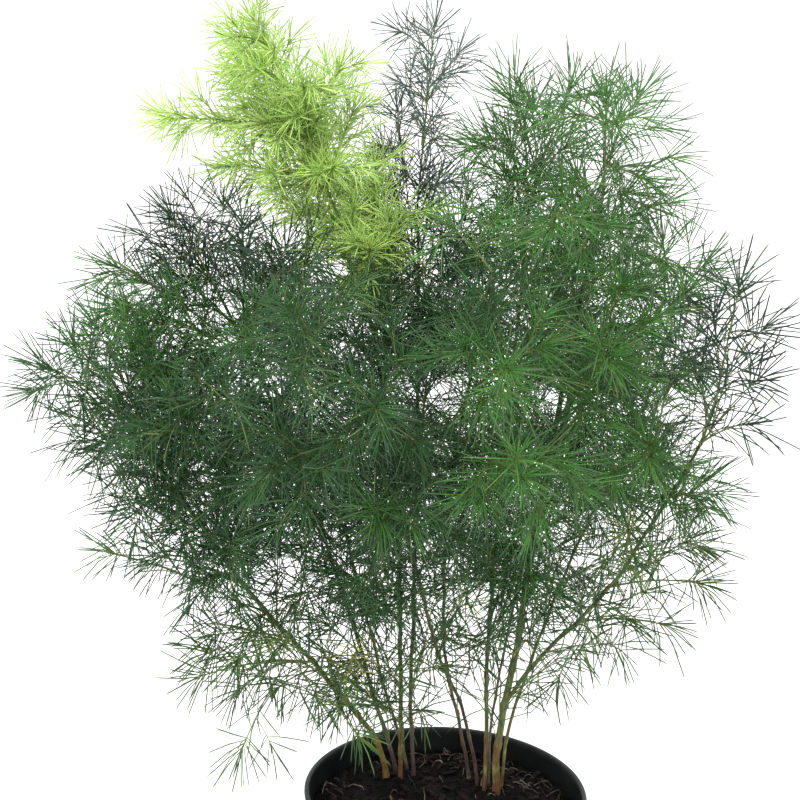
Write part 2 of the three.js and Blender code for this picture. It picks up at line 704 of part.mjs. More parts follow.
function piece(name, solid, color, roughness) {
  const material = new THREE.MeshStandardMaterial({ color, roughness, metalness: 0 });
  const mesh = new THREE.Mesh(geometryOf(solid), material);
  mesh.name = name;
  return mesh;
}

const plant = new THREE.Group();
plant.add(piece("pot", potSolid(), POT_COLOUR, 0.45));
plant.add(piece("potting_mix", mixSolid(), MIX_COLOUR, 0.95));
for (const name of Object.keys(CANES)) {
  plant.add(piece(`cane_${name}`, caneSolid(name), BARK_COLOUR, 0.7));
}

const linesOf = {};
for (const [name, frond] of Object.entries(FRONDS)) linesOf[name] = frondLines(name, frond);
Object.entries(FRONDS).forEach(([name, { colour }], i) => {
  const random = seeded(i + 1);
  const twigs = linesOf[name].map((line) => twigSolid(line, random));
  const solid = twigs.reduce((joined, twig) => joined.add(twig));
  plant.add(piece(`frond_${name}`, solid, NEEDLE_COLOURS[colour], 0.6));
});

export default plant;
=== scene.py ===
# %% [markdown]
# # A potted ming fern
# A ming fern is an asparagus that is grown for its foliage. Thin woody canes rise from a black nursery
# pot, and their leafy shoots, here called fronds, end in tufts of fine needles. The plant's solid model
# comes in first and stays where it is: it says where the pot, the mix, every cane and every frond are.
# Each of them is then replaced, in the same place, by a finer piece with its own finish.

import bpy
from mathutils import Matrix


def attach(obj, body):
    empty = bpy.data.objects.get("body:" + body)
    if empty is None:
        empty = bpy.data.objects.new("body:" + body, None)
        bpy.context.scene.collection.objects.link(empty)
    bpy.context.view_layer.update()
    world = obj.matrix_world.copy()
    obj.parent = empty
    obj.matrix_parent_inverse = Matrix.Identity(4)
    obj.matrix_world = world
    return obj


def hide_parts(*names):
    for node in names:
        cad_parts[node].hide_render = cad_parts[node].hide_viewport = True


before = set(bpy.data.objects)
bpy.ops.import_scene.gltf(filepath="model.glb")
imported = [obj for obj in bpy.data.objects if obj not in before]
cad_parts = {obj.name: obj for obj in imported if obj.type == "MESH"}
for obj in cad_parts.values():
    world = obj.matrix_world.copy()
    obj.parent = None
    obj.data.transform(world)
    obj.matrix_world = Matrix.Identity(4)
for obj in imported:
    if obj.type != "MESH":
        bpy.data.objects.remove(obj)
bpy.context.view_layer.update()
print("nodes in the solid model:", len(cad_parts))

# %% Tools of the trade
import math
from collections import namedtuple

import bpy
import numpy as np
from mathutils import Matrix, Vector, noise

MM = 0.001
UP = np.array([0.0, 0.0, 1.0])


def deselect_all():
    """An operator acts on all that is selected, so each piece starts with nothing selected."""
    if bpy.context.mode != "OBJECT":
        bpy.ops.object.mode_set(mode="OBJECT")
    bpy.ops.object.select_all(action="DESELECT")


def select_only(*pieces):
    """Selects these pieces and makes the first one active."""
    deselect_all()
    for piece in pieces:
        piece.select_set(True)
    bpy.context.view_layer.objects.active = pieces[0]


def in_place(piece, name, slot, *nodes):
    """Names a finished piece, fixes it to the plant and lets it stand for its nodes."""
    piece.name = name
    piece.data.name = name
    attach(piece, "root")
    if nodes:
        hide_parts(*nodes)
    print(f"{name}: {len(piece.data.polygons)} faces")


# %% [markdown]
# ## Finishes
# Colours are written as sRGB hex values, as a paint chart or a photo editor gives them. Blender mixes
# light in linear values, so one function turns the first into the second. A finish is a small tree of
# nodes. One helper adds a node, sets its sliders and joins its sockets. A few short functions then
# name the steps that all finishes share, which keeps each tree short enough to read as a recipe.

# %% Helpers for colours and nodes
def colour(hex_value):
    """An sRGB hex value such as "#3f7a34" as a linear colour."""
    channels = [int(hex_value[i:i + 2], 16) / 255 for i in (1, 3, 5)]
    linear = [c / 12.92 if c <= 0.04045 else ((c + 0.055) / 1.055) ** 2.4 for c in channels]
    return (*linear, 1.0)


def new_finish(name):
    """A material with an empty tree."""
    finish = bpy.data.materials.new(name)
    finish.use_nodes = True
    finish.node_tree.nodes.clear()
    return finish


def add_node(finish, kind, settings=None, **sockets):
    """Adds a node. A socket is given by its name, with _ for a space, or by _ and its number, and it
    gets a value or is linked to an output."""
    tree = finish.node_tree
    node = tree.nodes.new(kind)
    for key, value in (settings or {}).items():
        setattr(node, key, value)
    for key, value in sockets.items():
        socket = node.inputs[int(key[1:])] if key[1:].isdigit() else node.inputs[key.replace("_", " ")]
        if isinstance(value, bpy.types.NodeSocket):
            tree.links.new(value, socket)
        else:
            socket.default_value = value
    return node


# %% The steps that every finish is made of
def object_space(finish):
    """The piece's own coordinates, in metres."""
    return add_node(finish, "ShaderNodeTexCoord").outputs["Object"]


def drawn_out(finish, where, height_share):
    """Coordinates whose patterns are drawn out upwards."""
    return add_node(finish, "ShaderNodeMapping", Vector=where, Scale=(1, 1, height_share)).outputs[0]


def height_of(finish, where):
    """The height in these coordinates, in metres."""
    return add_node(finish, "ShaderNodeSeparateXYZ", Vector=where).outputs["Z"]


def noise_of(finish, where, size_mm, detail=3.0, roughness=0.5):
    """Noise whose features are about this size."""
    return add_node(
        finish, "ShaderNodeTexNoise", Vector=where, Scale=1000 / size_mm, Detail=detail, Roughness=roughness
    ).outputs[0]


def ranged(finish, value, low, high, new_low=0.0, new_high=1.0):
    """Stretches what lies between low and high over a new range."""
    return add_node(
        finish, "ShaderNodeMapRange", Value=value, From_Min=low, From_Max=high, To_Min=new_low,
        To_Max=new_high,
    ).outputs[0]


def computed(finish, operation, *values):
    """The outcome of one Math node."""
    sockets = {f"_{number}": value for number, value in enumerate(values)}
    return add_node(finish, "ShaderNodeMath", {"operation": operation}, **sockets).outputs[0]


def ramp(finish, value, stops):
    """A colour ramp over a value, with stops of (place from 0 to 1, hex colour)."""
    node = add_node(finish, "ShaderNodeValToRGB", Fac=value)
    elements = node.color_ramp.elements
    while len(elements) < len(stops):
        elements.new(0.5)
    for element, (position, hex_value) in zip(elements, stops):
        element.position = position
        element.color = colour(hex_value)
    return node.outputs[0]


def blend(finish, share, one, other, how="MIX"):
    """Blends a second colour into the first by a share."""
    settings = {"data_type": "RGBA", "blend_type": how}
    return add_node(finish, "ShaderNodeMix", settings, Factor=share, A=one, B=other).outputs["Result"]


def relief(finish, height, strength, depth_mm):
    """A bump, which the light shows and the outline doesn't."""
    return add_node(
        finish, "ShaderNodeBump", Strength=strength, Distance=depth_mm * MM, Height=height
    ).outputs[0]


def shaded(finish, base, **sockets):
    """Ends a tree with its shader and its output."""
    shader = add_node(finish, "ShaderNodeBsdfPrincipled", Base_Color=base, **sockets)
    add_node(finish, "ShaderNodeOutputMaterial", Surface=shader.outputs[0])
    return finish


def dress(piece, finish):
    """Gives the whole of a piece one finish."""
    piece.data.materials.clear()
    piece.data.materials.append(finish)


# %% [markdown]
# ## The nursery pot
# The real pot is one thin moulding of black polypropylene, with a collar for strength, a thin lip and
# drainage holes in its raised floor. A round thing can be turned from a profile with the Spin tool, or
# a circle can be extruded and scaled ring by ring. The second way is chosen because each ring is then
# one line of a list, with a radius and a height that can be read off the real pot.

# %% Turn a round piece ring by ring
def turned(rings, sides):
    """Extrudes a filled circle through rings of (radius, height) in millimetres."""
    deselect_all()
    radius, height = rings[0]
    bpy.ops.mesh.primitive_circle_add(
        vertices=sides, radius=radius * MM, fill_type="NGON", location=(0, 0, height * MM)
    )
    bpy.ops.object.mode_set(mode="EDIT")
    bpy.ops.mesh.select_all(action="SELECT")
    for (old_radius, old_height), (new_radius, new_height) in zip(rings, rings[1:]):
        rise = (new_height - old_height) * MM
        bpy.ops.mesh.extrude_region_move(TRANSFORM_OT_translate={"value": (0, 0, rise)})
        grow = new_radius / old_radius
        bpy.ops.transform.resize(value=(grow, grow, 1), center_override=(0, 0, new_height * MM))
    bpy.ops.mesh.select_all(action="SELECT")
    bpy.ops.mesh.normals_make_consistent(inside=False)
    bpy.ops.object.mode_set(mode="OBJECT")
    bpy.ops.object.transform_apply()
    return bpy.context.object


def smooth_by_angle(piece, degrees):
    """Shades a piece smooth but for its edges that are sharper than this angle."""
    select_only(piece)
    bpy.ops.object.shade_smooth_by_angle(angle=math.radians(degrees))


# %% The pot's wall, collar and lip
POT_SIDES = 96
POT_RINGS = [
    (18, 0), (20, 2), (45, 2), (47, 0), (53, 0), (53.7, 0.3), (54, 1),
    (70.6, 117), (71, 119), (71.3, 119.8), (72.1, 120.5), (72.4, 121.3),
    (73.8, 135.8), (74.1, 136.6), (74.7, 137.1), (75, 137.9),
    (75, 138.9), (74.75, 139.55), (74.1, 139.93), (73.3, 139.93), (72.65, 139.6), (72.4, 139),
    (72.1, 136), (55, 8), (53.2, 4.4), (52, 3.6), (50, 3.5), (12, 3.5),
]
pot = turned(POT_RINGS, POT_SIDES)

# %% Drill the drainage holes
DRAIN_HOLES = 6
DRAIN_RADIUS = 4.5
DRAIN_CIRCLE = 33


def drill(piece, radius, x, y, low, high):
    """Cuts a round hole between two heights, all in millimetres."""
    deselect_all()
    bpy.ops.mesh.primitive_cylinder_add(
        vertices=24, radius=radius * MM, depth=(high - low) * MM,
        location=(x * MM, y * MM, (high + low) / 2 * MM),
    )
    bit = bpy.context.object
    select_only(piece)
    cut = piece.modifiers.new("drainage hole", "BOOLEAN")
    cut.object = bit
    cut.operation = "DIFFERENCE"
    cut.solver = "EXACT"
    bpy.ops.object.modifier_apply(modifier=cut.name)
    bpy.data.objects.remove(bit)


for hole in range(DRAIN_HOLES):
    turn = 2 * math.pi * hole / DRAIN_HOLES
    drill(pot, DRAIN_RADIUS, DRAIN_CIRCLE * math.cos(turn), DRAIN_CIRCLE * math.sin(turn), -1, 6)
smooth_by_angle(pot, 35)
in_place(pot, "nursery_pot", "pot_plastic", "pot")


# %% [markdown]
# ### Moulded polypropylene
# A nursery pot comes out of its mould with a fine satin grain, and handling adds dust and thin
# scratches. So the black is slightly green and never quite black, its gloss comes and goes in patches,
# and a grain of about half a millimetre breaks up the highlight on the lip. The top of the lip has a
# painted highlight, a paler grey in streaks, where light catches its rounded edge.

# %% Finish of the pot
# The heights, in metres, between which the painted highlight on the top of the lip fades in.
LIP_HIGHLIGHT_FROM = 0.1372
LIP_HIGHLIGHT_BY = 0.1398


def moulded_polypropylene():
    """Satin black: dusty in patches, finely grained and scratched, with a highlight painted on its lip."""
    finish = new_finish("black polypropylene, moulded")
    where = object_space(finish)
    dust = noise_of(finish, where, 22, 6.0)
    grain = noise_of(finish, where, 0.55, 2.0)
    scratches = noise_of(finish, drawn_out(finish, where, 0.12), 0.9)
    plain = ramp(finish, dust, [(0.35, "#0b0f0f"), (0.6, "#111615"), (0.8, "#1d2221")])
    # The paler grey #3d4543 on the top of the lip, in streaks of the scratch noise, is a painted highlight.
    painted_lip_highlight = ranged(finish, height_of(finish, where), LIP_HIGHLIGHT_FROM, LIP_HIGHLIGHT_BY)
    streaked_lip_highlight = computed(finish, "MULTIPLY", painted_lip_highlight, scratches)
    return shaded(
        finish, blend(finish, streaked_lip_highlight, plain, colour("#3d4543")),
        Roughness=ranged(finish, dust, 0.3, 0.75, 0.42, 0.64), IOR=1.49, Specular_IOR_Level=0.22,
        Normal=relief(finish, computed(finish, "ADD", grain, scratches), 0.25, 0.2),
    )


dress(pot, moulded_polypropylene())

# %% [markdown]
# ## The potting mix
# The mix is peat and composted bark: a low mound of dark crumbs, with chips of bark and pale curled
# roots on top. Its body is turned like the pot, with many rings across the top, and the ring heights
# then follow a lumpy mound. The loose things are modelled once each and copied by the hundred, which
# looks richer and weighs less than sculpting them all into one surface.

# %% The mix's body
MIX_SIDES = 160
MIX_RINGS = 46
MIX_EDGE = 70.5
MIX_LEVEL = 127
MIX_MOUND = 3
MIX_LUMP = 1.1
LUMP_WIDTHS = (5.1, 4.3, 7.7)
CLOD_WIDTH = 6
CLOD_HEIGHT = 1.5


def mix_height(x, y):
    """The height of the mix at a place, all in millimetres: a mound, its lumps and fine clods."""
    outwards = min(1.0, math.hypot(x, y) / MIX_EDGE)
    across, along, slanting = LUMP_WIDTHS
    lumps = math.sin(x / across + 1) * math.cos(y / along) + 0.6 * math.sin((x + y) / slanting)
    clods = noise.fractal(Vector((x / CLOD_WIDTH, y / CLOD_WIDTH, 0.5)), 0.9, 2.1, 4)
    return MIX_LEVEL + (MIX_MOUND + MIX_LUMP * lumps) * (1 - outwards ** 2) + CLOD_HEIGHT * clods


top_rings = [(MIX_EDGE * (1 - i / MIX_RINGS), MIX_LEVEL) for i in range(MIX_RINGS)]
mix = turned([(51.6, 3.8), (MIX_EDGE - 0.6, 123), *top_rings, (0.4, MIX_LEVEL)], MIX_SIDES)
for vertex in mix.data.vertices:
    if vertex.co.z > (MIX_LEVEL - 1) * MM:
        vertex.co.z = mix_height(vertex.co.x / MM, vertex.co.y / MM) * MM
smooth_by_angle(mix, 60)
in_place(mix, "potting_mix_body", "potting_mix", "potting_mix")


# %% Copy a small model many times
def parts_of(model):
    """The vertices and triangles of a small model, which is then removed."""
    select_only(model)
    bpy.ops.object.mode_set(mode="EDIT")
    bpy.ops.mesh.select_all(action="SELECT")
    bpy.ops.mesh.quads_convert_to_tris()
    bpy.ops.mesh.normals_make_consistent(inside=False)
    bpy.ops.object.mode_set(mode="OBJECT")
    vertices = np.array([vertex.co for vertex in model.data.vertices])
    triangles = np.array([list(face.vertices) for face in model.data.polygons])
    bpy.data.objects.remove(model)
    return vertices, triangles


def piece_from(vertices, triangles):
    """A new smooth piece from rows of vertices and triangles."""
    mesh = bpy.data.meshes.new("piece")
    mesh.from_pydata(vertices, [], triangles)
    mesh.shade_smooth()
    piece = bpy.data.objects.new("piece", mesh)
    bpy.context.scene.collection.objects.link(piece)
    return piece


def piece_of_copies(moved, triangles):
    """A piece from the vertices of many copies, which all have the same triangles."""
    shifts = moved.shape[1] * np.arange(len(moved))
    return piece_from(moved.reshape(-1, 3), (triangles[None] + shifts[:, None, None]).reshape(-1, 3))


def copies_of(parts, places, frames):
    """A piece made of copies: each has a place and a 3 by 3 frame that turns and sizes it."""
    vertices, triangles = parts
    return piece_of_copies(np.einsum("nij,vj->nvi", frames, vertices) + places[:, None], triangles)


def any_turn(random, tilt=math.pi):
    """A random turn about the upright axis after a tilt of up to this angle."""
    axis = Vector((math.cos(a := random.uniform(0, 2 * math.pi)), math.sin(a), 0))
    leaning = Matrix.Rotation(random.uniform(-tilt, tilt), 3, axis)
    return np.array(leaning @ Matrix.Rotation(random.uniform(0, 2 * math.pi), 3, "Z"))


# %% Crumbs of peat
def crumb_model():
    """One crumb: a ball of 20 faces with its corners pushed about."""
    deselect_all()
    bpy.ops.mesh.primitive_ico_sphere_add(subdivisions=1, radius=1 * MM)
    bpy.ops.object.mode_set(mode="EDIT")
    bpy.ops.mesh.select_all(action="SELECT")
    bpy.ops.transform.vertex_random(offset=0.5 * MM, seed=4)
    bpy.ops.transform.resize(value=(1.2, 0.9, 0.75))
    bpy.ops.object.mode_set(mode="OBJECT")
    return parts_of(bpy.context.object)


def on_the_mix(random, count, reach=69.0, lift=0.0):
    """Random places on the mix, in metres."""
    turns = random.uniform(0, 2 * math.pi, count)
    radii = reach * np.sqrt(random.uniform(0, 1, count))
    spots = [(r * math.cos(a), r * math.sin(a)) for r, a in zip(radii, turns)]
    return np.array([(x, y, mix_height(x, y) + lift) for x, y in spots]) * MM


CRUMBS = 2600
random = np.random.default_rng(11)
sizes = random.uniform(0.45, 1.0, CRUMBS) ** 2 * 1.7
frames = np.array([any_turn(random) * size for size in sizes])
crumbs = copies_of(crumb_model(), on_the_mix(random, CRUMBS), frames)
in_place(crumbs, "peat_crumbs", "potting_mix")


# %% Chips of composted bark
def chip_model():
    """One chip: a slab with bevelled edges, bent and broken at its ends."""
    deselect_all()
    bpy.ops.mesh.primitive_cube_add(size=1 * MM)
    bpy.ops.object.mode_set(mode="EDIT")
    bpy.ops.mesh.select_all(action="SELECT")
    bpy.ops.transform.resize(value=(8, 3.4, 1.1))
    bpy.ops.mesh.bevel(offset=0.35 * MM, segments=1)
    bpy.ops.transform.vertex_random(offset=0.45 * MM, seed=9)
    bpy.ops.object.mode_set(mode="OBJECT")
    return parts_of(bpy.context.object)


CHIPS = 90
random = np.random.default_rng(12)
frames = np.array([any_turn(random, 0.5) * random.uniform(0.5, 1.1) for _ in range(CHIPS)])
chips = copies_of(chip_model(), on_the_mix(random, CHIPS, 66, 0.7), frames)
in_place(chips, "bark_chips", "potting_mix")


# %% [markdown]
# ### Stems, roots and twigs as curves
# Anything long, thin and bent is easiest as a curve: a row of points with a radius at each, and a
# round bevel that gives it thickness. Converting it leaves an ordinary mesh. The same function serves
# the curled roots on the mix, the canes and the twigs.

# %% Thicken lines into round stems
def thick_lines(lines, roundness):
    """A mesh piece from lines, each a pair of points in metres and radii in metres."""
    curve = bpy.data.curves.new("lines", "CURVE")
    curve.dimensions = "3D"
    curve.bevel_depth = 1.0
    curve.bevel_resolution = roundness
    curve.use_fill_caps = True
    for points, radii in lines:
        spline = curve.splines.new("POLY")
        spline.points.add(len(points) - 1)
        spline.points.foreach_set("co", np.column_stack([points, np.ones(len(points))]).ravel())
        spline.points.foreach_set("radius", radii)
    piece = bpy.data.objects.new("lines", curve)
    bpy.context.scene.collection.objects.link(piece)
    select_only(piece)
    bpy.ops.object.convert(target="MESH")
    piece = bpy.context.object
    piece.data.shade_smooth()
    return piece


# %% Curled roots and fibres on the mix
# Roots lie thickest in a few patches, each given as its middle (x, y), its spread and its count.
ROOT_PATCHES = [((6, 52), 19, 36), ((46, 32), 14, 18), ((-57, 20), 6, 7), ((0, -12), 32, 44)]
ROOT_EDGE = 67
FIBRE_STEP = 1.5
FIBRE_LIFT = 0.5


def on_the_top(x, y):
    """The same place, moved inwards where it would be in the pot's wall."""
    inwards = min(1.0, ROOT_EDGE / max(math.hypot(x, y), 1.0))
    return x * inwards, y * inwards


def fibre_line(random, x, y):
    """A fibre wanders over the mix, lies on it at its ends and arches between them."""
    x, y = on_the_top(x, y)
    heading = random.uniform(0, 2 * math.pi)
    curl = random.uniform(-0.35, 0.35)
    steps = int(random.uniform(4, 11))
    arch = random.uniform(0.2, 3.6)
    points = []
    for i in range(steps):
        points.append((x, y, mix_height(x, y) + FIBRE_LIFT + arch * math.sin(math.pi * i / (steps - 1))))
        heading += curl + random.normal(0, 0.25)
        x, y = on_the_top(x + FIBRE_STEP * math.cos(heading), y + FIBRE_STEP * math.sin(heading))
    thickness = random.uniform(0.18, 0.5) * MM
    return np.array(points) * MM, thickness * np.linspace(1, 0.6, steps)


random = np.random.default_rng(13)
root_lines = [
    fibre_line(random, x + random.normal(0, spread), y + random.normal(0, spread) / 2)
    for (x, y), spread, count in ROOT_PATCHES for _ in range(count)
]
fibres = thick_lines(root_lines, 0)
in_place(fibres, "curled_roots", "potting_mix")

# %% [markdown]
# ### Finishes of the mix
# Moist peat is nearly black, with a brown cast where it dries on top, and it has no gloss but for a
# few wet grains. Composted bark is a warmer brown. Dead roots dry to a pale grey-brown, the lightest
# thing in the pot, so they need their own finish.

# %% Peat, bark and root finishes
def earthy(name, stops, patch_mm, grain_mm, roughness, bump_mm):
    """A rough natural finish: colour in patches and a bump in grains, both by size in millimetres."""
    finish = new_finish(name)
    where = object_space(finish)
    return shaded(
        finish, ramp(finish, noise_of(finish, where, patch_mm, 5.0, 0.65), stops), Roughness=roughness,
        Specular_IOR_Level=0.15, Normal=relief(finish, noise_of(finish, where, grain_mm), 0.8, bump_mm),
    )


PEAT_STOPS = [(0.32, "#060505"), (0.52, "#0e0b0b"), (0.75, "#1d1715")]
BARK_STOPS = [(0.35, "#0e0a0a"), (0.55, "#1d1613"), (0.78, "#3a2a20")]
ROOT_STOPS = [(0.35, "#201c19"), (0.52, "#5a5249"), (0.68, "#a1978a")]
peat = earthy("peat, moist and crumbled", PEAT_STOPS, 7, 0.9, 0.9, 0.5)
dress(mix, peat)
dress(crumbs, peat)
dress(chips, earthy("pine bark, composted", BARK_STOPS, 4, 0.7, 0.85, 0.4))
dress(fibres, earthy("root fibre, dried", ROOT_STOPS, 9, 0.6, 0.75, 0.15))

# %% [markdown]
# ## How the plant grows
# The solid model grew by rules, and the finer pieces follow the same rules, so that they land in the
# same places. A place is read on an upright plane through the pot's axis, as someone who looks at the
# plant sees it, and it then slides along the line of sight to its depth. A cane is a smooth curve
# through such places, and a twig is a low arch from a stem to the place it reaches.

# %% Places and stems
EYE = np.array([-32.5, -1056, 706]) * MM
TWIG_ARCH = 0.12
TWIG_LEAD = 0.8
FIRST_TWIG = 9 * MM
LAST_TWIG = 7 * MM


def place(across, up, depth):
    """The point that is seen at (across, up) on the upright plane, moved to its depth."""
    on_plane = np.array([across, 0, up]) * MM
    return EYE + (on_plane - EYE) * (depth * MM - EYE[1]) / -EYE[1]


def unit(vector):
    """The same direction with a length of 1."""
    return vector / np.linalg.norm(vector)


class Stem:
    """A tapering stem along a row of points, in metres."""

    def __init__(self, points, root_radius, tip_radius):
        self.points = np.array(points)
        steps = np.linalg.norm(np.diff(self.points, axis=0), axis=1)
        self.along = np.concatenate([[0], np.cumsum(steps)])
        self.length = self.along[-1]
        self.radii = (root_radius * MM, tip_radius * MM)

    def at(self, distance):
        return np.array([np.interp(distance, self.along, column) for column in self.points.T])

    def heading(self, distance):
        return unit(self.at(distance + MM) - self.at(distance - MM))

    def radius(self, distance):
        return np.interp(distance, [0, self.length], self.radii)

    def leaving(self, target, first):
        """How far along a shoot leaves to reach a target: some way before the nearest point."""
        gaps = np.linalg.norm(self.points - target, axis=1)
        nearest = np.argmin(gaps)
        distance = self.along[nearest] - TWIG_LEAD * gaps[nearest]
        return min(max(distance, first), self.length - LAST_TWIG)


def smooth_curve(points, steps=24):
    """A curve through points, whose direction at each is that of the line between its neighbours."""
    points = np.array(points)
    points = np.vstack([2 * points[0] - points[1], points, 2 * points[-1] - points[-2]])
    t = np.linspace(0, 1, steps, endpoint=False)[:, None]
    rows = []
    for a, b, c, d in zip(points, points[1:], points[2:], points[3:]):
        m, n = (c - a) / 2, (d - b) / 2
        rows.append((2 * b - 2 * c + m + n) * t ** 3 + (3 * c - 3 * b - 2 * m - n) * t ** 2 + m * t + b)
    return np.vstack([*rows, points[-2:-1]])


def arch(root, tip, root_radius, tip_radius):
    """A twig: a low upward arch."""
    crest = (root + tip) / 2 + TWIG_ARCH * np.linalg.norm(tip - root) * UP
    t = np.linspace(0, 1, 24)[:, None]
    return Stem((1 - t) ** 2 * root + 2 * t * (1 - t) * crest + t ** 2 * tip, root_radius, tip_radius)


# %% [markdown]
# ### The canes
# Each cane of the real plant is a woody stem a few millimetres thick, a little swollen at its joints,
# where a small dry scale leaf sits. Its foot is [x, y] in the mix, its radii are those at foot and
# tip, and its places are [across, up, depth], all in millimetres.

# %% Where the canes go
CANE_FOOT_HEIGHTS = (99, 132.5)
CANES = {
    "left_long": ((-32, 30), (2.2, 1.1), [
        (-40, 171, 20), (-55, 190, 10), (-66, 204, 5), (-79, 218, 0), (-110, 255, -15), (-145, 305, -25),
        (-175, 345, -30)]),
    "left_crest": ((-27, 36), (1.6, 1), [
        (-41, 196, 30), (-53, 236, 25), (-75, 300, 15), (-100, 360, 10), (-125, 410, 10)]),
    "lime": ((-24, 29), (1.8, 1), [(-27, 220, 30), (-32, 300, 35), (-45, 380, 40), (-60, 430, 40)]),
    "grey": ((-17, 34), (1.6, 1), [
        (-21, 192, 40), (-21, 220, 45), (-22, 300, 60), (-25, 400, 70), (-28, 450, 75)]),
    "back_left": ((-21, 41), (1.2, 0.9), [(-35, 200, 56), (-60, 290, 76), (-85, 360, 88)]),
    "middle_left": ((13, 33), (1.3, 0.9), [
        (0, 200, 10), (-10, 226, 0), (-25, 280, -28), (-50, 340, -62), (-70, 375, -80)]),
    "middle": ((17.5, 29), (1.3, 0.9), [
        (7, 187, 26), (-4, 219, 20), (-6, 300, -16), (2, 370, -54), (10, 425, -60)]),
    "right_inner": ((21.5, 21.5), (1.6, 1), [
        (20, 174, 25), (18, 224, 30), (20, 300, 40), (24, 400, 50), (26, 460, 50)]),
    "right_main": ((28, 18), (3, 1.1), [
        (26, 160, 16), (28, 184, 15), (32, 213, 12), (36, 258, 8), (45, 340, 0), (55, 420, 0),
        (62, 470, 5)]),
    "right_back": ((24, 28), (1, 0.8), [(23, 190, 45), (35, 280, 68), (50, 350, 86)]),
    "right_outer": ((31, 26), (1.3, 0.9), [(34, 190, 35), (60, 280, 55), (85, 340, 65), (100, 400, 65)]),
}
BRANCH = ((1.5, 1), [
    (29, 192, 14), (45, 218, 5), (63, 240, 0), (82, 264, -10), (95, 290, -15), (115, 330, -20),
    (125, 360, -20)])

WANDER = 0.9 * MM
WANDER_LENGTH = 17 * MM
# One noise serves all three axes, read in places that lie far apart in it.
APART = ((9.3, -1.5, -8.0), (0.0, 0.0, 0.0), (6.3, 0.2, -2.7))
SETTLED_OVER = 20 * MM


def wandering(points):
    """The points moved a little sideways, as no cane is as smooth as a drawn curve."""
    shifts = np.array([
        [noise.noise(Vector(point / WANDER_LENGTH + apart)) for apart in APART] for point in points
    ])
    free = np.clip((points[:, 2] - CANE_FOOT_HEIGHTS[1] * MM) / SETTLED_OVER, 0, 1)
    return points + shifts * WANDER * free[:, None]


stems = {}
for name, (foot, radii, places) in CANES.items():
    upright = [np.array([*foot, height]) * MM for height in CANE_FOOT_HEIGHTS]
    stems[name] = Stem(wandering(smooth_curve(upright + [place(*spot) for spot in places])), *radii)
branch_radii, branch_places = BRANCH
branch_points = wandering(smooth_curve([place(*spot) for spot in branch_places]))
stems["right_branch"] = Stem(branch_points, *branch_radii)
print("longest cane, mm:", round(max(stem.length for stem in stems.values()) / MM))


# %% Model the canes with their swollen joints
JOINT_SPACING = 21 * MM
CANE_SLIMNESS = 0.76
JOINT_SWELL = 0.3
JOINT_WIDTH = 1.6 * MM
CANE_STEP = 2.1 * MM
CANE_TIP = 1.5 * MM


def joints_of(stem):
    """The distances of a stem's joints, closer together towards the tip."""
    count = int(stem.length / JOINT_SPACING)
    return stem.length * (np.arange(1, count) / count) ** 0.85


def cane_line(stem):
    """The line of a cane, with its radius swelling at every joint."""
    distances = np.linspace(0, stem.length, int(stem.length / CANE_STEP))
    gaps = np.abs(distances[:, None] - joints_of(stem)[None]).min(axis=1)
    swell = 1 + JOINT_SWELL * np.exp(-(gaps / JOINT_WIDTH) ** 2)
    tips = np.sqrt(np.clip((stem.length - distances) / CANE_TIP, 0.05, 1))
    points = np.array([stem.at(distance) for distance in distances])
    return points, stem.radius(distances) * CANE_SLIMNESS * swell * tips


# %% Model a dry scale leaf and set one at every joint
def scale_leaf_model():
    """A papery triangle that clasps the cane: a narrow cone, flattened, its point drawn outwards."""
    deselect_all()
    bpy.ops.mesh.primitive_cone_add(vertices=6, radius1=1 * MM, radius2=0.7 * MM, depth=1.2 * MM)
    bpy.ops.object.mode_set(mode="EDIT")
    bpy.ops.mesh.select_all(action="DESELECT")
    bpy.ops.object.mode_set(mode="OBJECT")
    leaf = bpy.context.object
    for face in leaf.data.polygons:
        face.select = face.normal.z > 0.9
    bpy.ops.object.mode_set(mode="EDIT")
    bpy.ops.mesh.extrude_region_move(TRANSFORM_OT_translate={"value": (0.35 * MM, 0, 1.3 * MM)})
    bpy.ops.transform.resize(value=(0.45, 0.5, 1))
    bpy.ops.mesh.extrude_region_move(TRANSFORM_OT_translate={"value": (0.7 * MM, 0, 1.2 * MM)})
    bpy.ops.mesh.merge(type="CENTER")
    bpy.ops.mesh.select_all(action="SELECT")
    bpy.ops.transform.resize(value=(0.55, 1, 1))
    bpy.ops.object.mode_set(mode="OBJECT")
    return parts_of(leaf)


SCALE_LEAF = scale_leaf_model()


def scale_leaves(stem, random):
    """A scale leaf on the bark at every joint, each turned round the cane from the one below."""
    places, frames = [], []
    for i, distance in enumerate(joints_of(stem)):
        axis = stem.heading(distance)
        side = unit(np.cross(axis, [math.cos(2.4 * i), math.sin(2.4 * i), 0.3]))
        radius = stem.radius(distance)
        size = (0.35 + 0.4 * radius / MM) * random.uniform(0.8, 1.2)
        places.append(stem.at(distance) + side * radius * CANE_SLIMNESS * 0.9)
        frames.append(np.column_stack([side, np.cross(axis, side), axis]) * size)
    return copies_of(SCALE_LEAF, np.array(places), np.array(frames))


def joined(*pieces):
    """Several meshes as one piece."""
    select_only(*pieces)
    bpy.ops.object.join()
    return bpy.context.object


random = np.random.default_rng(21)
canes = {}
for name in CANES:
    grown = [stems[name], stems["right_branch"]] if name == "right_main" else [stems[name]]
    wood = thick_lines([cane_line(stem) for stem in grown], 2)
    leaves = [scale_leaves(stem, random) for stem in grown]
    canes[name] = joined(wood, *leaves)
    in_place(canes[name], f"stem_{name}", "cane_bark", f"cane_{name}")


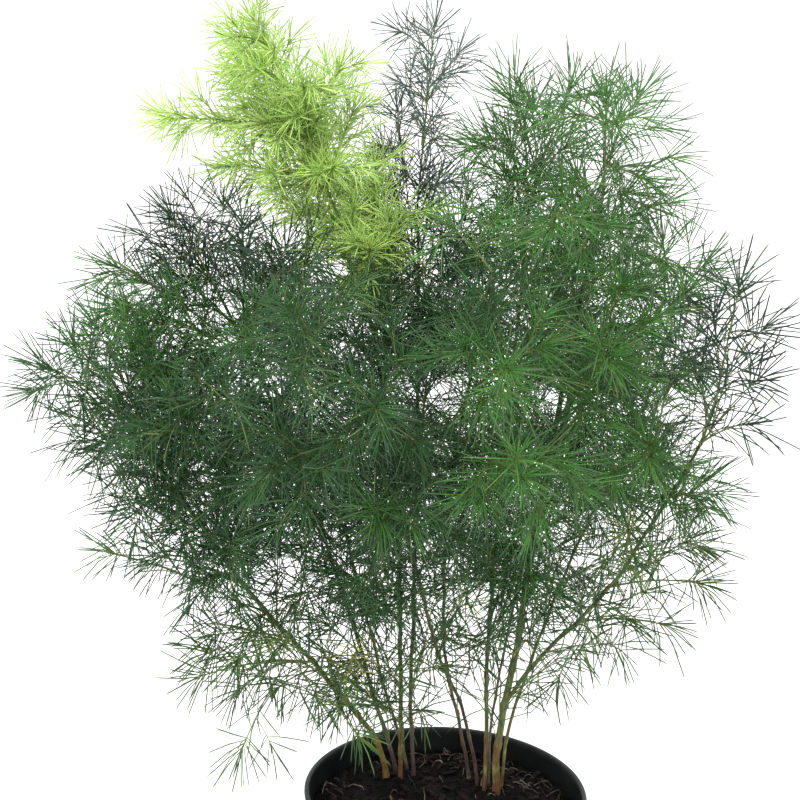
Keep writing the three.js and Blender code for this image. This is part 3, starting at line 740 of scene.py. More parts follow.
# %% [markdown]
# ### Bark
# Young canes of this plant are olive green and smooth, and they turn brown from the foot up as bark
# forms. Fine lengthwise streaks run through both. The colour is therefore a ramp over the height above
# the pot's underside, disturbed by noise that is stretched upwards, and the same stretched noise gives
# a low bump.

# %% Finishes of the canes
# The heights, in metres, between which old bark gives way to young green.
BARK_FROM = 0.165
BARK_BY = 0.42
YOUNG_GREEN = (1.0, "#3d562b")


def cane_bark(name, fleck, stops):
    """Bark over a ramp of height, with yellowed patches on the young part above the foot."""
    finish = new_finish(name)
    where = object_space(finish)
    streaks = noise_of(finish, drawn_out(finish, where, 0.1), 0.9)
    patches = noise_of(finish, where, 14)
    uneven = computed(finish, "MULTIPLY_ADD", patches, 0.09, height_of(finish, where))
    by_height = ramp(finish, ranged(finish, uneven, BARK_FROM, BARK_BY), [*stops, YOUNG_GREEN])
    flecked = blend(finish, ranged(finish, patches, 0.55, 0.66), by_height, colour(fleck))
    streaked = blend(finish, 1.0, flecked, ranged(finish, streaks, 0.3, 0.7, 0.5, 1.3), "MULTIPLY")
    return shaded(
        finish, streaked, Roughness=0.5, Specular_IOR_Level=0.35,
        Normal=relief(finish, streaks, 0.5, 0.3),
    )


BARKS = {
    "green": cane_bark("asparagus cane, young and green", "#8f8f4c", [
        (0.0, "#5a3d2c"), (0.1, "#72583a"), (0.2, "#6a7040"), (0.5, "#47592c")]),
    "ochre": cane_bark("asparagus cane, dried to ochre", "#a8a04c", [
        (0.0, "#7d5a34"), (0.08, "#9a7f42"), (0.2, "#6d6f36"), (0.5, "#4d5f2e")]),
    "brown": cane_bark("asparagus cane, barked", "#7f7450", [
        (0.0, "#4b3b38"), (0.12, "#6a574e"), (0.25, "#5a5340"), (0.5, "#48562f")]),
}
YOUNGER_BARKS = {
    "left_long": "ochre", "lime": "green", "right_inner": "green", "right_main": "green",
    "right_outer": "green",
}
for name, cane in canes.items():
    dress(cane, BARKS[YOUNGER_BARKS.get(name, "brown")])

# %% [markdown]
# ## One needle
# What looks like a leaf is a cladode, a needle-like stem about 20 mm long and 0.7 mm thick. It keeps
# its thickness almost to the end, which is a short blunt point. Thousands are needed, so it is a
# three-sided rod with four rings: smooth shading makes it look round, and a plant full of them still
# renders quickly. It is modelled upright, by extruding a triangle and scaling each new ring.

# %% Model the needle
NEEDLE_LENGTH = 20
NEEDLE_RADIUS = 0.33
NEEDLE_RINGS = [(0.0, 0.6), (0.4, 1.0), (0.87, 0.85), (1.0, 0.3)]


def needle_model():
    """A three-sided rod through rings of (share of length, share of radius), closed to a point."""
    rings = [(share * NEEDLE_RADIUS, along * NEEDLE_LENGTH) for along, share in NEEDLE_RINGS]
    needle = turned(rings, 3)
    bpy.ops.object.mode_set(mode="EDIT")
    bpy.ops.mesh.select_all(action="DESELECT")
    bpy.ops.object.mode_set(mode="OBJECT")
    for vertex in needle.data.vertices:
        vertex.select = vertex.co.z > 0.99 * NEEDLE_LENGTH * MM
    bpy.ops.object.mode_set(mode="EDIT")
    bpy.ops.mesh.merge(type="CENTER")
    bpy.ops.object.mode_set(mode="OBJECT")
    return parts_of(needle)


NEEDLE = needle_model()
print("one needle:", len(NEEDLE[1]), "triangles")


# %% [markdown]
# ## Tufts
# Along every twig, needles stand in starbursts at the joints, and a fuller tuft closes the tip. In a
# real tuft the needles share out the space around them evenly, each about 137.5 degrees round from the
# last, as the seeds of a sunflower do. Copying with operators would take minutes, so the copies are
# worked out as rows of numbers: where each root is, where the needle points and how it bends. A habit
# says how dense and how long all of this is on one kind of frond.

# %% How the tufts grow
# Habits: needles at a joint and at a tip, their length, gaps between joints and between twiglets, the
# twiglets' reach and its loss towards the tip, leans of needles at joints and at tips in degrees, and
# their width and sag. Lengths are in millimetres.
Habit = namedtuple("Habit", "joint tip length gap twiglet_gap reach taper spread fan width sag")
HABITS = {
    "lime": Habit(20, 34, 16, 6.8, 7.2, 17, 0.3, (25, 76), (33, 88), 0.95, 0.06),
    "fresh": Habit(14, 38, 22.5, 12, 15, 25, 0.5, (10, 76), (22, 88), 0.97, 0.14),
    "crown": Habit(7, 30, 23, 15, 17, 24, 0.4, (12, 74), (34, 88), 1.0, 0.1),
    "dark": Habit(15, 30, 20.5, 11, 11, 28, 0.6, (5, 78), (20, 87), 0.97, 0.2),
    "airy": Habit(7, 27, 23, 15, 21, 23, 0.4, (10, 76), (28, 88), 1.0, 0.16),
    "grey": Habit(10, 23, 17, 12, 17, 14, 0.5, (10, 76), (24, 87), 0.95, 0.12),
    "pale": Habit(5, 19, 22.5, 18, 28, 22, 0.5, (10, 76), (18, 87), 1.15, 0.4),
    "yellowed": Habit(6, 12, 13, 9, 16, 11, 0.5, (10, 76), (18, 87), 1.1, 0.4),
    "bold": Habit(4, 21, 24, 17, 24, 24, 0.4, (10, 76), (26, 88), 1.35, 0.16),
    "bare": Habit(3, 14, 21, 20, 34, 18, 0.4, (10, 76), (26, 88), 1.1, 0.2),
}
GOLDEN_TURN = math.radians(137.508)
JOINT_RUN = 4 * MM
TIP_RUN = 8 * MM

# Light shows through the plant in a few places, where few needles grow. Each is given as it is seen,
# by (across, up, radius) on the upright plane, in millimetres.
OPENINGS = [
    (117, 342, 16), (-14, 360, 14), (128, 391, 9), (142, 405, 9), (71, 298, 9), (-168, 284, 10),
    (-28, 438, 11), (-134, 454, 10), (-21, 506, 8), (-170, 362, 7), (108, 442, 11),
    (-206, 329, 10), (-190, 306, 9), (-181, 294, 8), (131, 321, 10), (-87, 264, 8), (-90, 437, 8),
    (51, 289, 8), (-54, 264, 8), (-118, 402, 9), (-161, 411, 10), (-178, 309, 7), (-125, 385, 7),
    (92, 228, 9), (114, 271, 10), (56, 272, 8), (-56, 226, 9), (94, 449, 9), (56, 479, 7),
    (104, 356, 8), (-31, 463, 8), (13, 252, 8), (-65, 424, 7), (48, 359, 8), (139, 381, 8),
]
LEFT_IN_OPENINGS = 0.12
# A direction that no twig and no needle has, to measure turns from.
ASIDE = (0.31, 0.87, 0.38)


# %% Set needles round a joint
def across(axis):
    """Two directions that are square to an axis and to each other."""
    side = unit(np.cross(axis, ASIDE))
    return side, np.cross(axis, side)


def burst(random, centre, axis, count, habit, leans, run):
    """Roots, directions, bends, lengths and widths of the needles round one joint. They lean from
    square to the twig towards its tip, their roots are spread over a run of the twig, and they curl
    outwards and sag."""
    share = (np.arange(count) + random.uniform(0.2, 0.8, count)) / count
    sines = np.interp(share, [0, 1], np.sin(np.radians(leans)))
    lean = np.arcsin(np.clip(sines, -1, 1)) + random.normal(0, 0.12, count)
    turn = random.uniform(0, 2 * math.pi) + GOLDEN_TURN * np.arange(count) + random.normal(0, 0.35, count)
    side, other = across(axis)
    around = np.cos(turn)[:, None] * side + np.sin(turn)[:, None] * other
    directions = np.cos(lean)[:, None] * around + np.sin(lean)[:, None] * axis
    outwards = np.sin(lean)[:, None] * around - np.cos(lean)[:, None] * axis
    roots = centre - axis * run * (1 - share)[:, None]
    bends = outwards * random.uniform(-0.1, 0.24, count)[:, None] + random.normal(0, 0.06, (count, 3))
    bends -= UP * random.uniform(0, habit.sag, count)[:, None]
    bends -= (bends * directions).sum(axis=1)[:, None] * directions
    lengths = habit.length * random.normal(1, 0.12, count)
    widths = habit.width * random.normal(1, 0.08, count)
    return roots, directions, bends, lengths, widths


def outside_openings(points, chance):
    """Which points to keep: all outside the openings, and fewer the nearer they are to a middle."""
    seen = EYE + (points - EYE) * (EYE[1] / (EYE[1] - points[:, 1]))[:, None]
    share = np.ones(len(points))
    for x, z, radius in OPENINGS:
        gaps = np.hypot(seen[:, 0] - x * MM, seen[:, 2] - z * MM) / (radius * MM)
        share = np.minimum(share, LEFT_IN_OPENINGS + gaps ** 2)
    return chance < share


def needles_piece(random, bursts):
    """One mesh of bent needles, with its tone at every vertex: how far along the needle it is, a
    chance value for each needle, and 1 for a needle, where wood has 0."""
    rows = [np.concatenate(rows) for rows in zip(*bursts)]
    roots, directions, bends, lengths, widths = rows
    chance = random.uniform(0, 1, len(roots))
    kept = outside_openings(roots + directions * lengths[:, None] * MM * 0.5, chance)
    kept &= outside_openings(roots + (directions + bends) * lengths[:, None] * MM, chance)
    roots, directions, bends, lengths, widths, chance = (row[kept] for row in [*rows, chance])
    vertices, triangles = NEEDLE
    share = vertices[:, 2] / (NEEDLE_LENGTH * MM)
    side = np.cross(directions, ASIDE)
    side *= (widths / np.linalg.norm(side, axis=1))[:, None]
    other = np.cross(directions, side)
    reach = lengths[:, None, None] * MM
    spine = directions[:, None] * share[None, :, None] + bends[:, None] * share[None, :, None] ** 2
    moved = roots[:, None] + spine * reach
    moved = moved + side[:, None] * vertices[None, :, :1] + other[:, None] * vertices[None, :, 1:2]
    piece = piece_of_copies(moved, triangles)
    tone = np.ones((len(roots), len(vertices), 4))
    tone[:, :, 0] = share[None]
    tone[:, :, 1] = chance[:, None]
    attribute = piece.data.attributes.new("tone", "FLOAT_COLOR", "POINT")
    attribute.data.foreach_set("color", tone.astype(np.float32).ravel())
    return piece


# %% [markdown]
# ## Fronds
# A frond is one shoot: a leader, its side twigs and all their tufts. Crown fronds grow on from a
# cane's tip, and the others leave a cane's side. Every frond has its colour, its cane, the place that
# its leader reaches and the places that its side twigs reach.

# %% Where the fronds go
CROWNS = {
    "lime_plume": ("lime", "lime", (-109, 543, 45), [
        (-50, 438, 62), (-59, 443, 20), (-86, 452, 66), (-98, 462, 22), (-57, 466, 60), (-69, 474, 18),
        (-120, 472, 52), (-86, 490, 74), (-104, 494, 22), (-60, 503, 66), (-150, 494, 35), (-85, 514, 22),
        (-117, 511, 66), (-67, 523, 48)]),
    "grey_plume": ("grey", "grey", (-23, 545, 85), [
        (-27, 466, 58), (-12, 469, 96), (-42, 485, 92), (-20, 490, 62), (-22, 503, 106), (-38, 516, 96),
        (-26, 524, 62), (-11, 532, 94), (-40, 541, 74)]),
    "fresh_crown_left": ("fresh", "right_inner", (43, 517, 55), [
        (2, 488, 48), (42, 488, 32), (12, 492, 78), (14, 512, 42), (25, 507, 76)]),
    "fresh_crown_right": ("fresh", "right_main", (60, 514, -4), [
        (82, 474, -6), (68, 478, 28), (46, 504, -22), (66, 500, -26), (76, 515, 20)]),
    "middle_crown": ("fresh", "middle", (-13, 448, -58), [(10, 452, -78), (22, 444, -36)]),
    "outer_crown": ("fresh", "right_outer", (92, 446, 56), [(108, 420, 42), (113, 432, 72), (84, 432, 80)]),
    "outer_right_top": ("dark", "right_branch", (132, 423, -18), [
        (121, 394, -44), (146, 402, -6), (120, 408, 10)]),
    "left_crest_tip": ("dark", "left_crest", (-148, 446, 10), [
        (-119, 434, -14), (-133, 448, 34), (-155, 422, -8)]),
    "wing_tip": ("dark", "left_long", (-208, 366, -35), [
        (-188, 372, -60), (-196, 380, -8), (-192, 348, -48)]),
    "breast_high": ("dark", "middle_left", (-88, 402, -98), [
        (-108, 384, -74), (-62, 404, -72), (-82, 366, -124)]),
    "back_right": ("dark", "right_back", (60, 402, 112), [(36, 388, 92), (80, 372, 124), (46, 428, 92)]),
    "back_left": ("dark", "back_left", (-100, 404, 110), [
        (-74, 404, 128), (-124, 380, 92), (-88, 430, 82)]),
}
SIDE_FRONDS = {
    "front_star": ("fresh", "right_main", (41, 467, -45), [(38, 448, -72), (62, 450, -52)]),
    "outer_right_middle": ("dark", "right_branch", (146, 376, -30), [(131, 380, 4), (114, 378, -50)]),
    "outer_right_low": ("dark", "right_branch", (136, 350, -15), [(120, 348, -46), (112, 352, 16)]),
    "olive_right": ("fresh", "right_branch", (124, 314, -20), [(113, 324, 8), (102, 310, -46)]),
    "pale_right_high": ("pale", "right_branch", (126, 264, -25), [(118, 288, -2), (104, 276, -46)]),
    "pale_right_low": ("pale", "right_branch", (110, 240, -10), [(100, 260, 14), (90, 243, -32)]),
    "pale_right_inner": ("pale", "right_branch", (86, 292, -46), [(74, 272, -56), (60, 288, -26)]),
    "low_right": ("pale", "right_branch", (72, 234, -30), [(55, 204, -15), (64, 250, -34)]),
    "bright_star_high": ("fresh", "middle", (21, 375, -110), [
        (38, 388, -86), (10, 356, -94), (0, 386, -94)]),
    "bright_star_low": ("fresh", "middle", (31, 318, -120), [
        (43, 298, -100), (52, 326, -98), (12, 306, -96)]),
    "front_right_high": ("fresh", "right_main", (70, 384, -80), [
        (88, 402, -58), (58, 352, -66), (74, 420, -52)]),
    "front_right_low": ("fresh", "right_branch", (92, 340, -64), [(76, 322, -76), (100, 366, -48)]),
    "left_crest_inner": ("dark", "left_crest", (-90, 436, 16), [(-76, 424, -8), (-102, 418, 40)]),
    "left_crest_outer": ("fresh", "left_crest", (-176, 420, 16), [(-160, 412, -14), (-168, 400, 36)]),
    "wing_upper": ("fresh", "left_long", (-185, 390, -18), [(-174, 386, 14), (-160, 378, -44)]),
    "wing_lower": ("dark", "left_long", (-198, 328, -25), [(-186, 314, 2), (-176, 334, -56)]),
    "flank_high": ("dark", "left_long", (-176, 301, -15), [(-156, 312, 16), (-165, 290, -44)]),
    "flank_low": ("dark", "left_long", (-156, 267, -20), [(-137, 264, 8), (-148, 288, -50)]),
    "flank_front": ("dark", "left_long", (-128, 256, -42), [(-116, 277, -66), (-112, 246, -18)]),
    "flank_hanging": ("pale", "left_long", (-178, 268, 32), [(-172, 290, 12)]),
    "sparse_high": ("pale", "left_long", (-126, 224, -10), [(-112, 210, -32), (-98, 224, 14)]),
    "sparse_low": ("pale", "left_long", (-132, 200, -20), [(-109, 158, -35), (-112, 192, 0)]),
    "sparse_front": ("pale", "left_long", (-90, 196, -32), [
        (-88, 221, -48), (-68, 188, -14), (-46, 168, -22)]),
    "breast_middle": ("dark", "middle_left", (-44, 352, -118), [
        (-64, 334, -100), (-30, 378, -94), (-22, 334, -92)]),
    "breast_left": ("dark", "middle_left", (-96, 318, -102), [
        (-112, 338, -78), (-78, 298, -112), (-118, 306, -64)]),
    "breast_low": ("dark", "middle_left", (-22, 300, -92), [(-40, 282, -66), (2, 284, -62)]),
    "breast_outer": ("dark", "left_long", (-138, 342, -72), [
        (-150, 362, -48), (-122, 362, -88), (-162, 334, -72)]),
    "heart_high": ("dark", "lime", (-62, 390, -26), [(-40, 404, -6), (-86, 404, -34)]),
    "heart_middle": ("dark", "grey", (-8, 402, 14), [(-14, 424, 40), (8, 412, -12), (-38, 418, 10)]),
    "heart_low": ("dark", "lime", (-64, 262, -4), [(-44, 244, -14), (-80, 276, -30)]),
    "heart_right": ("dark", "right_main", (14, 270, -50), [(22, 250, -30), (-8, 258, -34)]),
    "shade_right": ("dark", "right_main", (72, 368, 8), [(58, 338, -32), (88, 352, 24)]),
    "back_right_low": ("dark", "right_back", (92, 318, 102), [
        (70, 298, 124), (104, 346, 84), (28, 304, 100), (52, 268, 94)]),
    "back_left_low": ("dark", "back_left", (-126, 328, 96), [(-102, 308, 124), (-142, 352, 72)]),
    "back_middle": ("dark", "grey", (-18, 384, 122), [
        (4, 402, 96), (-46, 400, 102), (-14, 350, 130), (-52, 302, 112), (-22, 284, 100)]),
}
print("fronds:", len(CROWNS) + len(SIDE_FRONDS))

# %% Grow the twigs of a frond
LEADER_RADIUS = 0.62
TWIG_RADIUS = 0.45
TIP_RADIUS = 0.3
TWIGLET_RADII = (0.32, 0.24)
TWIG_STEP = 6 * MM
WHORL_SPACING = 27 * MM
CANE_BURIED = (CANE_FOOT_HEIGHTS[1] - CANE_FOOT_HEIGHTS[0]) * MM


def twigs_of(cane, leader, sides, is_crown):
    """The leader and the side twigs of a frond. A side twig leaves halfway between two whorls."""
    stem = stems[cane]
    buried = CANE_BURIED if cane in CANES else 0
    start = stem.length if is_crown else stem.leaving(place(*leader), buried + FIRST_TWIG)
    main = arch(stem.at(start), place(*leader), LEADER_RADIUS, TIP_RADIUS)
    whorls = max(0, round((main.length - JOINT_RUN) / WHORL_SPACING) - 1)
    spacing = (main.length - JOINT_RUN) / (whorls + 1)
    twigs = [main]
    for side in sides:
        gap = min(int(main.leaving(place(*side), FIRST_TWIG) / spacing), whorls)
        root = main.at((gap + 0.5) * spacing)
        twigs.append(arch(root, place(*side), TWIG_RADIUS, TIP_RADIUS))
    return twigs


def shoot_to(stem, target):
    """A twig from a stem to a target, [across, up, depth]."""
    tip = place(*target)
    return arch(stem.at(stem.leaving(tip, FIRST_TWIG)), tip, TWIG_RADIUS, TIP_RADIUS)


def twiglets_of(random, twig, habit):
    """Short side shoots all round a twig, shorter towards its tip."""
    count = int(twig.length / (habit.twiglet_gap * MM))
    turn = random.uniform(0, 2 * math.pi)
    twiglets = []
    for i in range(count):
        share = (i + random.uniform(0.35, 0.75)) / count
        axis = twig.heading(share * twig.length)
        side, other = across(axis)
        turn += GOLDEN_TURN + random.normal(0, 0.3)
        outward = math.cos(turn) * side + math.sin(turn) * other
        direction = unit(outward + axis * random.uniform(0.6, 1.3) + UP * 0.1)
        root = twig.at(share * twig.length)
        length = habit.reach * MM * (1.15 - habit.taper * share) * random.uniform(0.7, 1.15)
        twiglets.append(arch(root, root + direction * length, *TWIGLET_RADII))
    return twiglets


def twig_line(twig):
    """The line of a twig, with a point every few millimetres."""
    distances = np.linspace(0, twig.length, max(4, int(twig.length / TWIG_STEP)))
    points = np.array([twig.at(distance) for distance in distances])
    return points, twig.radius(distances)


# %% Grow the tufts of a frond
def bursts_of(random, twig, habit, bare, fullness=1.0):
    """The starbursts along a twig from the end of its bare part, and the tuft at its tip."""
    gap = habit.gap * MM
    bursts = []
    for i in range(int(max(0.0, twig.length - bare) / gap)):
        distance = twig.length - TIP_RUN - gap * (i + 0.7 + random.uniform(-0.2, 0.2))
        if distance < bare:
            break
        count = round(habit.joint * fullness * random.uniform(0.75, 1))
        centre, axis = twig.at(distance), twig.heading(distance)
        bursts.append(burst(random, centre, axis, count, habit, habit.spread, JOINT_RUN))
    count = round(habit.tip * fullness)
    centre, axis = twig.at(twig.length), twig.heading(twig.length - MM)
    bursts.append(burst(random, centre, axis, count, habit, habit.fan, TIP_RUN))
    return bursts


# A twig is bare over a stretch from its root. Tufts on short shoots have fewer needles.
LEADER_BARE = 10 * MM
TWIG_BARE = 4 * MM
TWIGLET_FULLNESS = 0.55


def leafy(random, twigs, habit, short=()):
    """One piece of wood and needles: twigs, their twiglets and other short shoots. The first twig is
    bare for longer, and the tufts of all that is short have about half the needles of a twig's."""
    twiglets = [*short, *(twiglet for twig in twigs for twiglet in twiglets_of(random, twig, habit))]
    bursts = []
    for twig in twigs:
        bursts += bursts_of(random, twig, habit, TWIG_BARE if bursts else LEADER_BARE)
    for twiglet in twiglets:
        bursts += bursts_of(random, twiglet, habit, TWIG_BARE, TWIGLET_FULLNESS)
    wood = thick_lines([twig_line(twig) for twig in twigs], 1)
    thin_wood = thick_lines([twig_line(twiglet) for twiglet in twiglets], 0)
    return joined(needles_piece(random, bursts), wood, thin_wood)


NEEDLE_SLOTS = {
    "lime": "needles_lime", "fresh": "needles_fresh", "dark": "needles_dark",
    "grey": "needles_bluegrey", "pale": "needles_pale", "yellowed": "needles_pale",
}
# Fronds at the plant's edge are airier than those of the same green further in, and those of the
# crown end in clear fans.
OTHER_HABITS = {
    "outer_right_top": "bold", "outer_right_middle": "bold", "outer_right_low": "bare", "wing_tip": "airy",
    "wing_upper": "airy", "wing_lower": "airy", "flank_high": "airy", "flank_low": "airy",
    "left_crest_outer": "airy", "outer_crown": "crown", "fresh_crown_left": "crown",
    "fresh_crown_right": "crown", "front_star": "crown", "middle_crown": "crown",
}
# More twigs that fill a frond out, on its leader: [across, up, depth] in millimetres.
FULLER = {
    "lime_plume": [(-114, 528, 52), (-119, 535, 34), (-103, 531, 58), (-108, 520, 26)],
    "wing_tip": [(-214, 354, -24)],
}
fronds = {}
for number, (name, (green, cane, leader, sides)) in enumerate({**CROWNS, **SIDE_FRONDS}.items()):
    random = np.random.default_rng(100 + number)
    habit = HABITS[OTHER_HABITS.get(name, green)]
    twigs = twigs_of(cane, leader, sides, name in CROWNS)
    twigs += [shoot_to(twigs[0], target) for target in FULLER.get(name, [])]
    fronds[name] = leafy(random, twigs, habit)
    in_place(fronds[name], f"spray_{name}", NEEDLE_SLOTS[green], f"frond_{name}")

# %% [markdown]
# ### Leafy shoots on the canes
# Between the fronds the real plant is full of smaller shoots. Some stand at the joints of every cane,
# short and level higher up, long, steep and half bare near the pot. Others fill what would be gaps,
# and each of these has the place that it reaches: [across, up, depth] in millimetres, as for the fronds.

# %% Where the shoots go
FRESH_CANES = {"right_inner", "right_main", "right_outer"}
SHOOTS = {
    "left_long": [
        (-142, 352, 10), (-118, 316, -60), (-118, 336, 20), (-100, 300, 4), (-92, 276, 10), (-84, 246, -20),
        (-106, 226, -24), (-66, 216, -26), (-62, 198, 0), (-80, 212, 20), (-160, 386, -24), (-172, 352, 2),
        (-154, 370, -50), (-150, 322, -50), (-128, 214, -24), (-128, 272, -32), (-141, 298, -14),
        (-184, 348, -34), (-164, 312, -4), (-106, 275, -34), (-100, 236, -14), (-141, 284, -36),
        (-182, 327, -30), (-170, 320, -30)],
    "left_crest": [
        (-136, 372, -10), (-108, 348, -30), (-92, 356, -12), (-88, 338, 44), (-70, 352, 0), (-92, 300, -36),
        (-76, 316, 50), (-80, 250, 0), (-50, 200, 14), (-94, 262, 30), (-72, 236, 40), (-60, 212, 10),
        (-28, 206, 2), (-58, 186, 4), (-34, 190, 52), (-131, 418, 22), (-113, 446, 30), (-148, 418, 20)],
    "lime": [
        (-62, 340, 0), (-20, 350, 4), (-56, 308, 20), (-50, 288, -12), (-76, 378, 30), (-20, 398, 10),
        (-46, 250, 10), (-44, 214, 0), (-8, 212, -6), (-40, 188, -8), (-14, 186, 10)],
    "grey": [
        (-4, 452, 44), (8, 440, 92), (-40, 440, 50), (-48, 456, 84), (-36, 340, 96), (-6, 230, 20)],
    "back_left": [(-80, 330, 104), (-74, 290, 104), (-50, 258, 84)],
    "middle_left": [(-34, 322, -60), (-60, 318, -70), (4, 312, -50), (-48, 262, -50), (-30, 250, -40)],
    "middle": [
        (18, 330, -60), (-14, 322, -50), (26, 300, -60), (12, 406, -86), (16, 384, -56), (24, 230, 12)],
    "right_inner": [
        (46, 452, 78), (46, 420, 84), (2, 430, 62), (8, 404, 24), (14, 474, 20), (46, 384, 66),
        (4, 350, 20), (16, 488, 62), (30, 470, 44), (17, 226, 20)],
    "right_main": [
        (78, 440, 20), (84, 418, -30), (40, 436, -30), (30, 408, 30), (66, 452, 26), (96, 436, -22),
        (48, 474, 24), (28, 350, -46), (70, 318, -40), (22, 314, 20), (52, 256, -10), (44, 240, 20),
        (28, 281, -30), (38, 264, -26), (56, 454, 22), (102, 410, 24), (76, 468, 6), (40, 228, -6),
        (20, 430, 20)],
    "right_back": [(52, 330, 110), (30, 370, 110), (50, 280, 96)],
    "right_outer": [(72, 376, 84), (112, 382, 30), (100, 330, 76), (70, 320, 50)],
    "right_branch": [(88, 228, 10), (118, 370, -8)],
}

# Other shoots differ from their cane's own green: brighter ones stand in the dark mass, lime and grey
# ones fill out its top, and a few old ones near the pot have yellowed.
OTHER_SHOOTS = [
    ("left_crest", "fresh", [(-154, 392, -34), (-110, 392, -44), (-173, 400, -8)]),
    ("left_long", "fresh", [(-166, 380, -46)]),
    ("middle_left", "fresh", [(-40, 292, -84)]),
    ("lime", "lime", [(-40, 443, 20), (-50, 434, 4), (-34, 452, 34), (-64, 432, 8), (-49, 476, 54)]),
    ("grey", "grey", [(-40, 505, 70), (-46, 484, 86), (-18, 470, 62)]),
    ("right_branch", "pale", [(114, 304, -4), (125, 284, -18)]),
    ("left_long", "yellowed", [(-90, 226, -14), (-50, 218, -12)]),
    ("middle", "yellowed", [(14, 250, 2)]),
    ("right_branch", "yellowed", [(86, 296, -24)]),
]

# %% Grow the shoots
# Heights above the floor, in metres.
LOWEST_SHOOT = 0.158
LEVEL_SHOOT = 0.29
SHADED_BELOW = 0.262


def joint_shoots(random, stem):
    """A shoot at every joint of a cane above the lowest, steeper the lower it is."""
    shoots = []
    turn = random.uniform(0, 2 * math.pi)
    for distance in joints_of(stem):
        root = stem.at(distance)
        higher = min(1.0, (root[2] - LOWEST_SHOOT) / (LEVEL_SHOOT - LOWEST_SHOOT))
        turn += GOLDEN_TURN + random.normal(0, 0.3)
        outward = np.array([math.cos(turn), math.sin(turn), 0.0])
        rise = random.uniform(0.3, 0.8) + 1.3 * (1 - higher)
        length = random.uniform(22, 40 + 8 * higher) * MM
        tip = root + unit(outward + stem.heading(distance) * rise) * length
        if higher > 0:
            shoots.append(arch(root, tip, *TWIGLET_RADII))
    return shoots


def by_light(shoots):
    """Shoots that end in the shade near the pot, and those that end higher up."""
    shaded = [shoot for shoot in shoots if shoot.points[-1][2] < SHADED_BELOW]
    return shaded, [shoot for shoot in shoots if shoot.points[-1][2] >= SHADED_BELOW]


sprays = {}


def keep_sprigs(piece, name, green):
    """Puts a piece of shoots in place and keeps it with the others of its green."""
    in_place(piece, name, NEEDLE_SLOTS[green])
    sprays.setdefault(green, []).append(piece)


for number, (name, targets) in enumerate(SHOOTS.items()):
    random = np.random.default_rng(200 + number)
    greens = ("pale", "fresh" if name in FRESH_CANES else "dark")
    twigs_by_light = by_light([shoot_to(stems[name], target) for target in targets])
    short_by_light = by_light(joint_shoots(random, stems[name]))
    for level, green, twigs, short in zip(("low_sprigs", "sprigs"), greens, twigs_by_light, short_by_light):
        if twigs or short:
            keep_sprigs(leafy(random, twigs, HABITS[green], short), f"{level}_{name}", green)
for number, (name, green, targets) in enumerate(OTHER_SHOOTS):
    random = np.random.default_rng(300 + number)
    twigs = [shoot_to(stems[name], target) for target in targets]
    keep_sprigs(leafy(random, twigs, HABITS[green]), f"{green}_sprigs_{name}", green)

# %% [markdown]
# ### Green needles
# A needle is a waxy green rod. Young growth is yellow-green, old growth is a deep blue-green that ends
# in slate at the plant's edge, and the low shoots near the pot, which end in shade, have a green of
# their own, yellow at the root and dark at the point. Along one needle the root is paler and the point
# is darker or browned, no two needles are quite alike, a few have dried, and whole tufts differ a little
# too. The tone attribute carries all but the last, which is a broad noise. The wax gives a soft gloss.
# Twigs have their own olive green.

# %% Finishes of the needles
DRIED_FROM = 0.97
DRIED_BY = 0.985
DRIED = "#74824a"


def needle_wax(name, along, paler, darker, twig):
    """A green made of a ramp along the needle, mixed with a paler and a darker green by chance."""
    finish = new_finish(name)
    tone = add_node(finish, "ShaderNodeAttribute", {"attribute_name": "tone"}).outputs["Color"]
    length_share, chance, is_needle = add_node(finish, "ShaderNodeSeparateColor", Color=tone).outputs
    middle_green = along[2][1]
    by_chance = ramp(
        finish, chance, [(0.0, darker), (0.5, middle_green), (DRIED_FROM, paler), (DRIED_BY, DRIED)]
    )
    chance_share = ranged(finish, chance, DRIED_FROM, DRIED_BY, 0.42, 0.8)
    mixed = blend(finish, chance_share, ramp(finish, length_share, along), by_chance)
    tuft_light = ranged(finish, noise_of(finish, object_space(finish), 28, 2.0), 0.3, 0.7, 0.8, 1.25)
    varied = blend(finish, 1.0, mixed, tuft_light, "MULTIPLY")
    whole = blend(finish, is_needle, colour(twig), varied)
    return shaded(finish, whole, Roughness=0.55, IOR=1.45, Specular_IOR_Level=0.3)


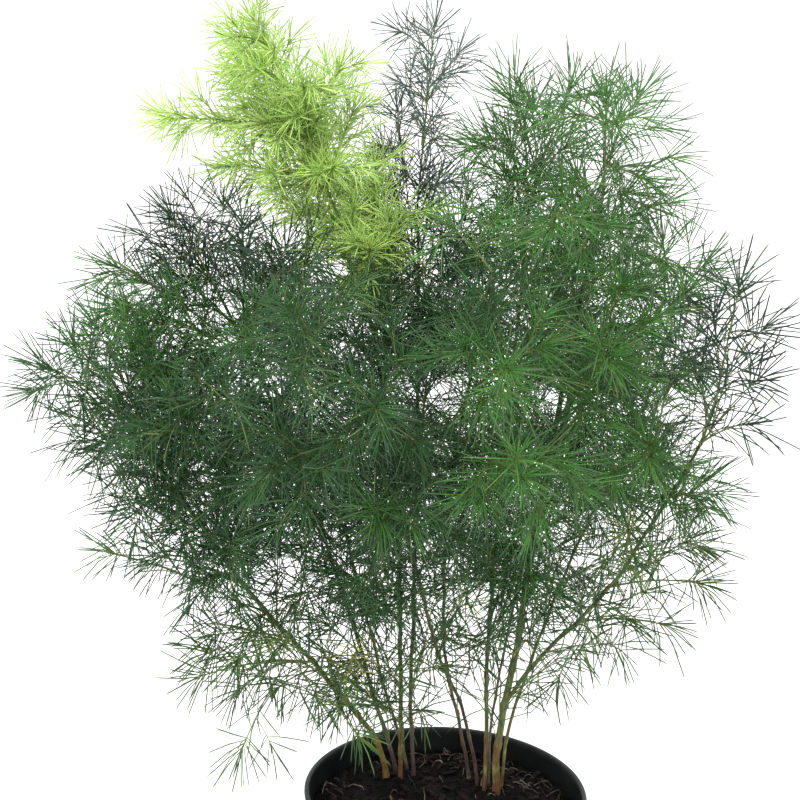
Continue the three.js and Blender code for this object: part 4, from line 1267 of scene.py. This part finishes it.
# Each has the colours along a needle from root to point, then a paler, a darker and the twigs' green.
WAXES = {
    "lime": ("this year's", [
        (0.0, "#d8ea9c"), (0.3, "#cae885"), (0.65, "#b9da74"), (0.85, "#97b160"), (1.0, "#7f9552"),
    ], "#d6f296", "#a8cf68", "#98ac64"),
    "fresh": ("fresh", [
        (0.0, "#8cac5c"), (0.25, "#599542"), (0.5, "#447537"), (0.75, "#4b5946"), (1.0, "#494b46"),
    ], "#6ba04d", "#34642c", "#5c7844"),
    "dark": ("mature", [
        (0.0, "#688852"), (0.25, "#42703a"), (0.5, "#345834"), (0.75, "#384837"), (1.0, "#373a36"),
    ], "#568249", "#244629", "#4b5b39"),
    "slate": ("old and slate green", [
        (0.0, "#587450"), (0.25, "#3a5c40"), (0.45, "#34463b"), (0.7, "#333836"), (1.0, "#363635"),
    ], "#4a6c50", "#26382d", "#46523c"),
    "grey": ("blue-grey", [
        (0.0, "#7c8e82"), (0.3, "#64776d"), (0.7, "#505f58"), (1.0, "#454f4c"),
    ], "#7c9186", "#405852", "#6c7a70"),
    "pale": ("shaded", [
        (0.0, "#aab262"), (0.2, "#628b42"), (0.5, "#3b5c34"), (0.8, "#333e2e"), (1.0, "#30322c"),
    ], "#82a055", "#2e4c2a", "#647446"),
    "yellowed": ("yellowed", [
        (0.0, "#d2d67a"), (0.3, "#c0c961"), (0.6, "#a5af4e"), (1.0, "#7f7f40"),
    ], "#d8dc80", "#8c9c4c", "#9c9f52"),
}
GREENS = {name: needle_wax(f"asparagus needle, {kind}", *greens) for name, (kind, *greens) in WAXES.items()}
SLATE = {"outer_right_top", "outer_right_middle", "outer_right_low", "left_crest_tip"}
for name, (green, *_) in {**CROWNS, **SIDE_FRONDS}.items():
    dress(fronds[name], GREENS["slate" if name in SLATE else green])
for green, pieces in sprays.items():
    for piece in pieces:
        dress(piece, GREENS[green])

# %% [markdown]
# ## The studio
# A plant for sale is photographed on white with broad, soft light from the front and above, so that
# every needle reads against the background and nothing is lost in shade. A wide pale floor does for
# the background, and a white world fills the shadows. The camera looks slightly down, with a long
# lens, and is rolled a little.

# %% Floor
FLOOR_SIZE = 24

deselect_all()
bpy.ops.mesh.primitive_plane_add(size=FLOOR_SIZE, location=(0, 0, 0))
floor = bpy.context.object
floor.name = "studio_floor"
dress(floor, shaded(new_finish("matt white paper"), colour("#f6f6f6"), Roughness=0.9))


# %% Lights
def softbox(name, place_m, aim_m, size_m, watts):
    """A square area light that looks at a point."""
    deselect_all()
    bpy.ops.object.light_add(type="AREA", location=place_m)
    lamp = bpy.context.object
    lamp.name = name
    lamp.data.size = size_m
    lamp.data.energy = watts
    lamp.rotation_euler = (Vector(aim_m) - Vector(place_m)).to_track_quat("-Z", "Y").to_euler()
    return lamp


middle = (-0.03, 0, 0.33)
softbox("key_softbox", (-1.1, -1.5, 2.0), middle, 1.6, 24)
softbox("top_softbox", (0.1, 0.7, 2.2), middle, 1.4, 14)

world = bpy.data.worlds.new("white studio")
bpy.context.scene.world = world
world.use_nodes = True
world.node_tree.nodes["Background"].inputs["Color"].default_value = (1, 1, 1, 1)
world.node_tree.nodes["Background"].inputs["Strength"].default_value = 1.4
bpy.context.scene.view_settings.view_transform = "Standard"

# %% Camera
FOCAL_PIXELS = 2224
IMAGE_PIXELS = 800
SENSOR_MM = 36
PITCH_DOWN = 18.3
ROLL = 2.3

deselect_all()
bpy.ops.object.camera_add()
camera = bpy.context.object
camera.data.sensor_width = SENSOR_MM
camera.data.lens = FOCAL_PIXELS / IMAGE_PIXELS * SENSOR_MM
pitch = Matrix.Rotation(math.radians(90 - PITCH_DOWN), 4, "X")
roll = Matrix.Rotation(math.radians(ROLL), 4, "Z")
camera.matrix_world = Matrix.Translation(EYE) @ pitch @ roll
bpy.context.scene.camera = camera
print("lens, mm:", round(camera.data.lens, 1))

# %% [markdown]
# ## Measure and finish
# The finer pieces may stand a little proud of the solid model's box, but no more, so both boxes are
# written down side by side before the table of pieces is made.

# %% Count the triangles that were added
made = [piece for piece in bpy.data.objects if piece.type == "MESH" and piece.users_scene]
triangles = {piece.name: sum(len(face.vertices) - 2 for face in piece.data.polygons) for piece in made}
added = {name: count for name, count in triangles.items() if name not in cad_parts}
print("triangles added:", sum(added.values()), "and the most in one piece:", max(added.values()))
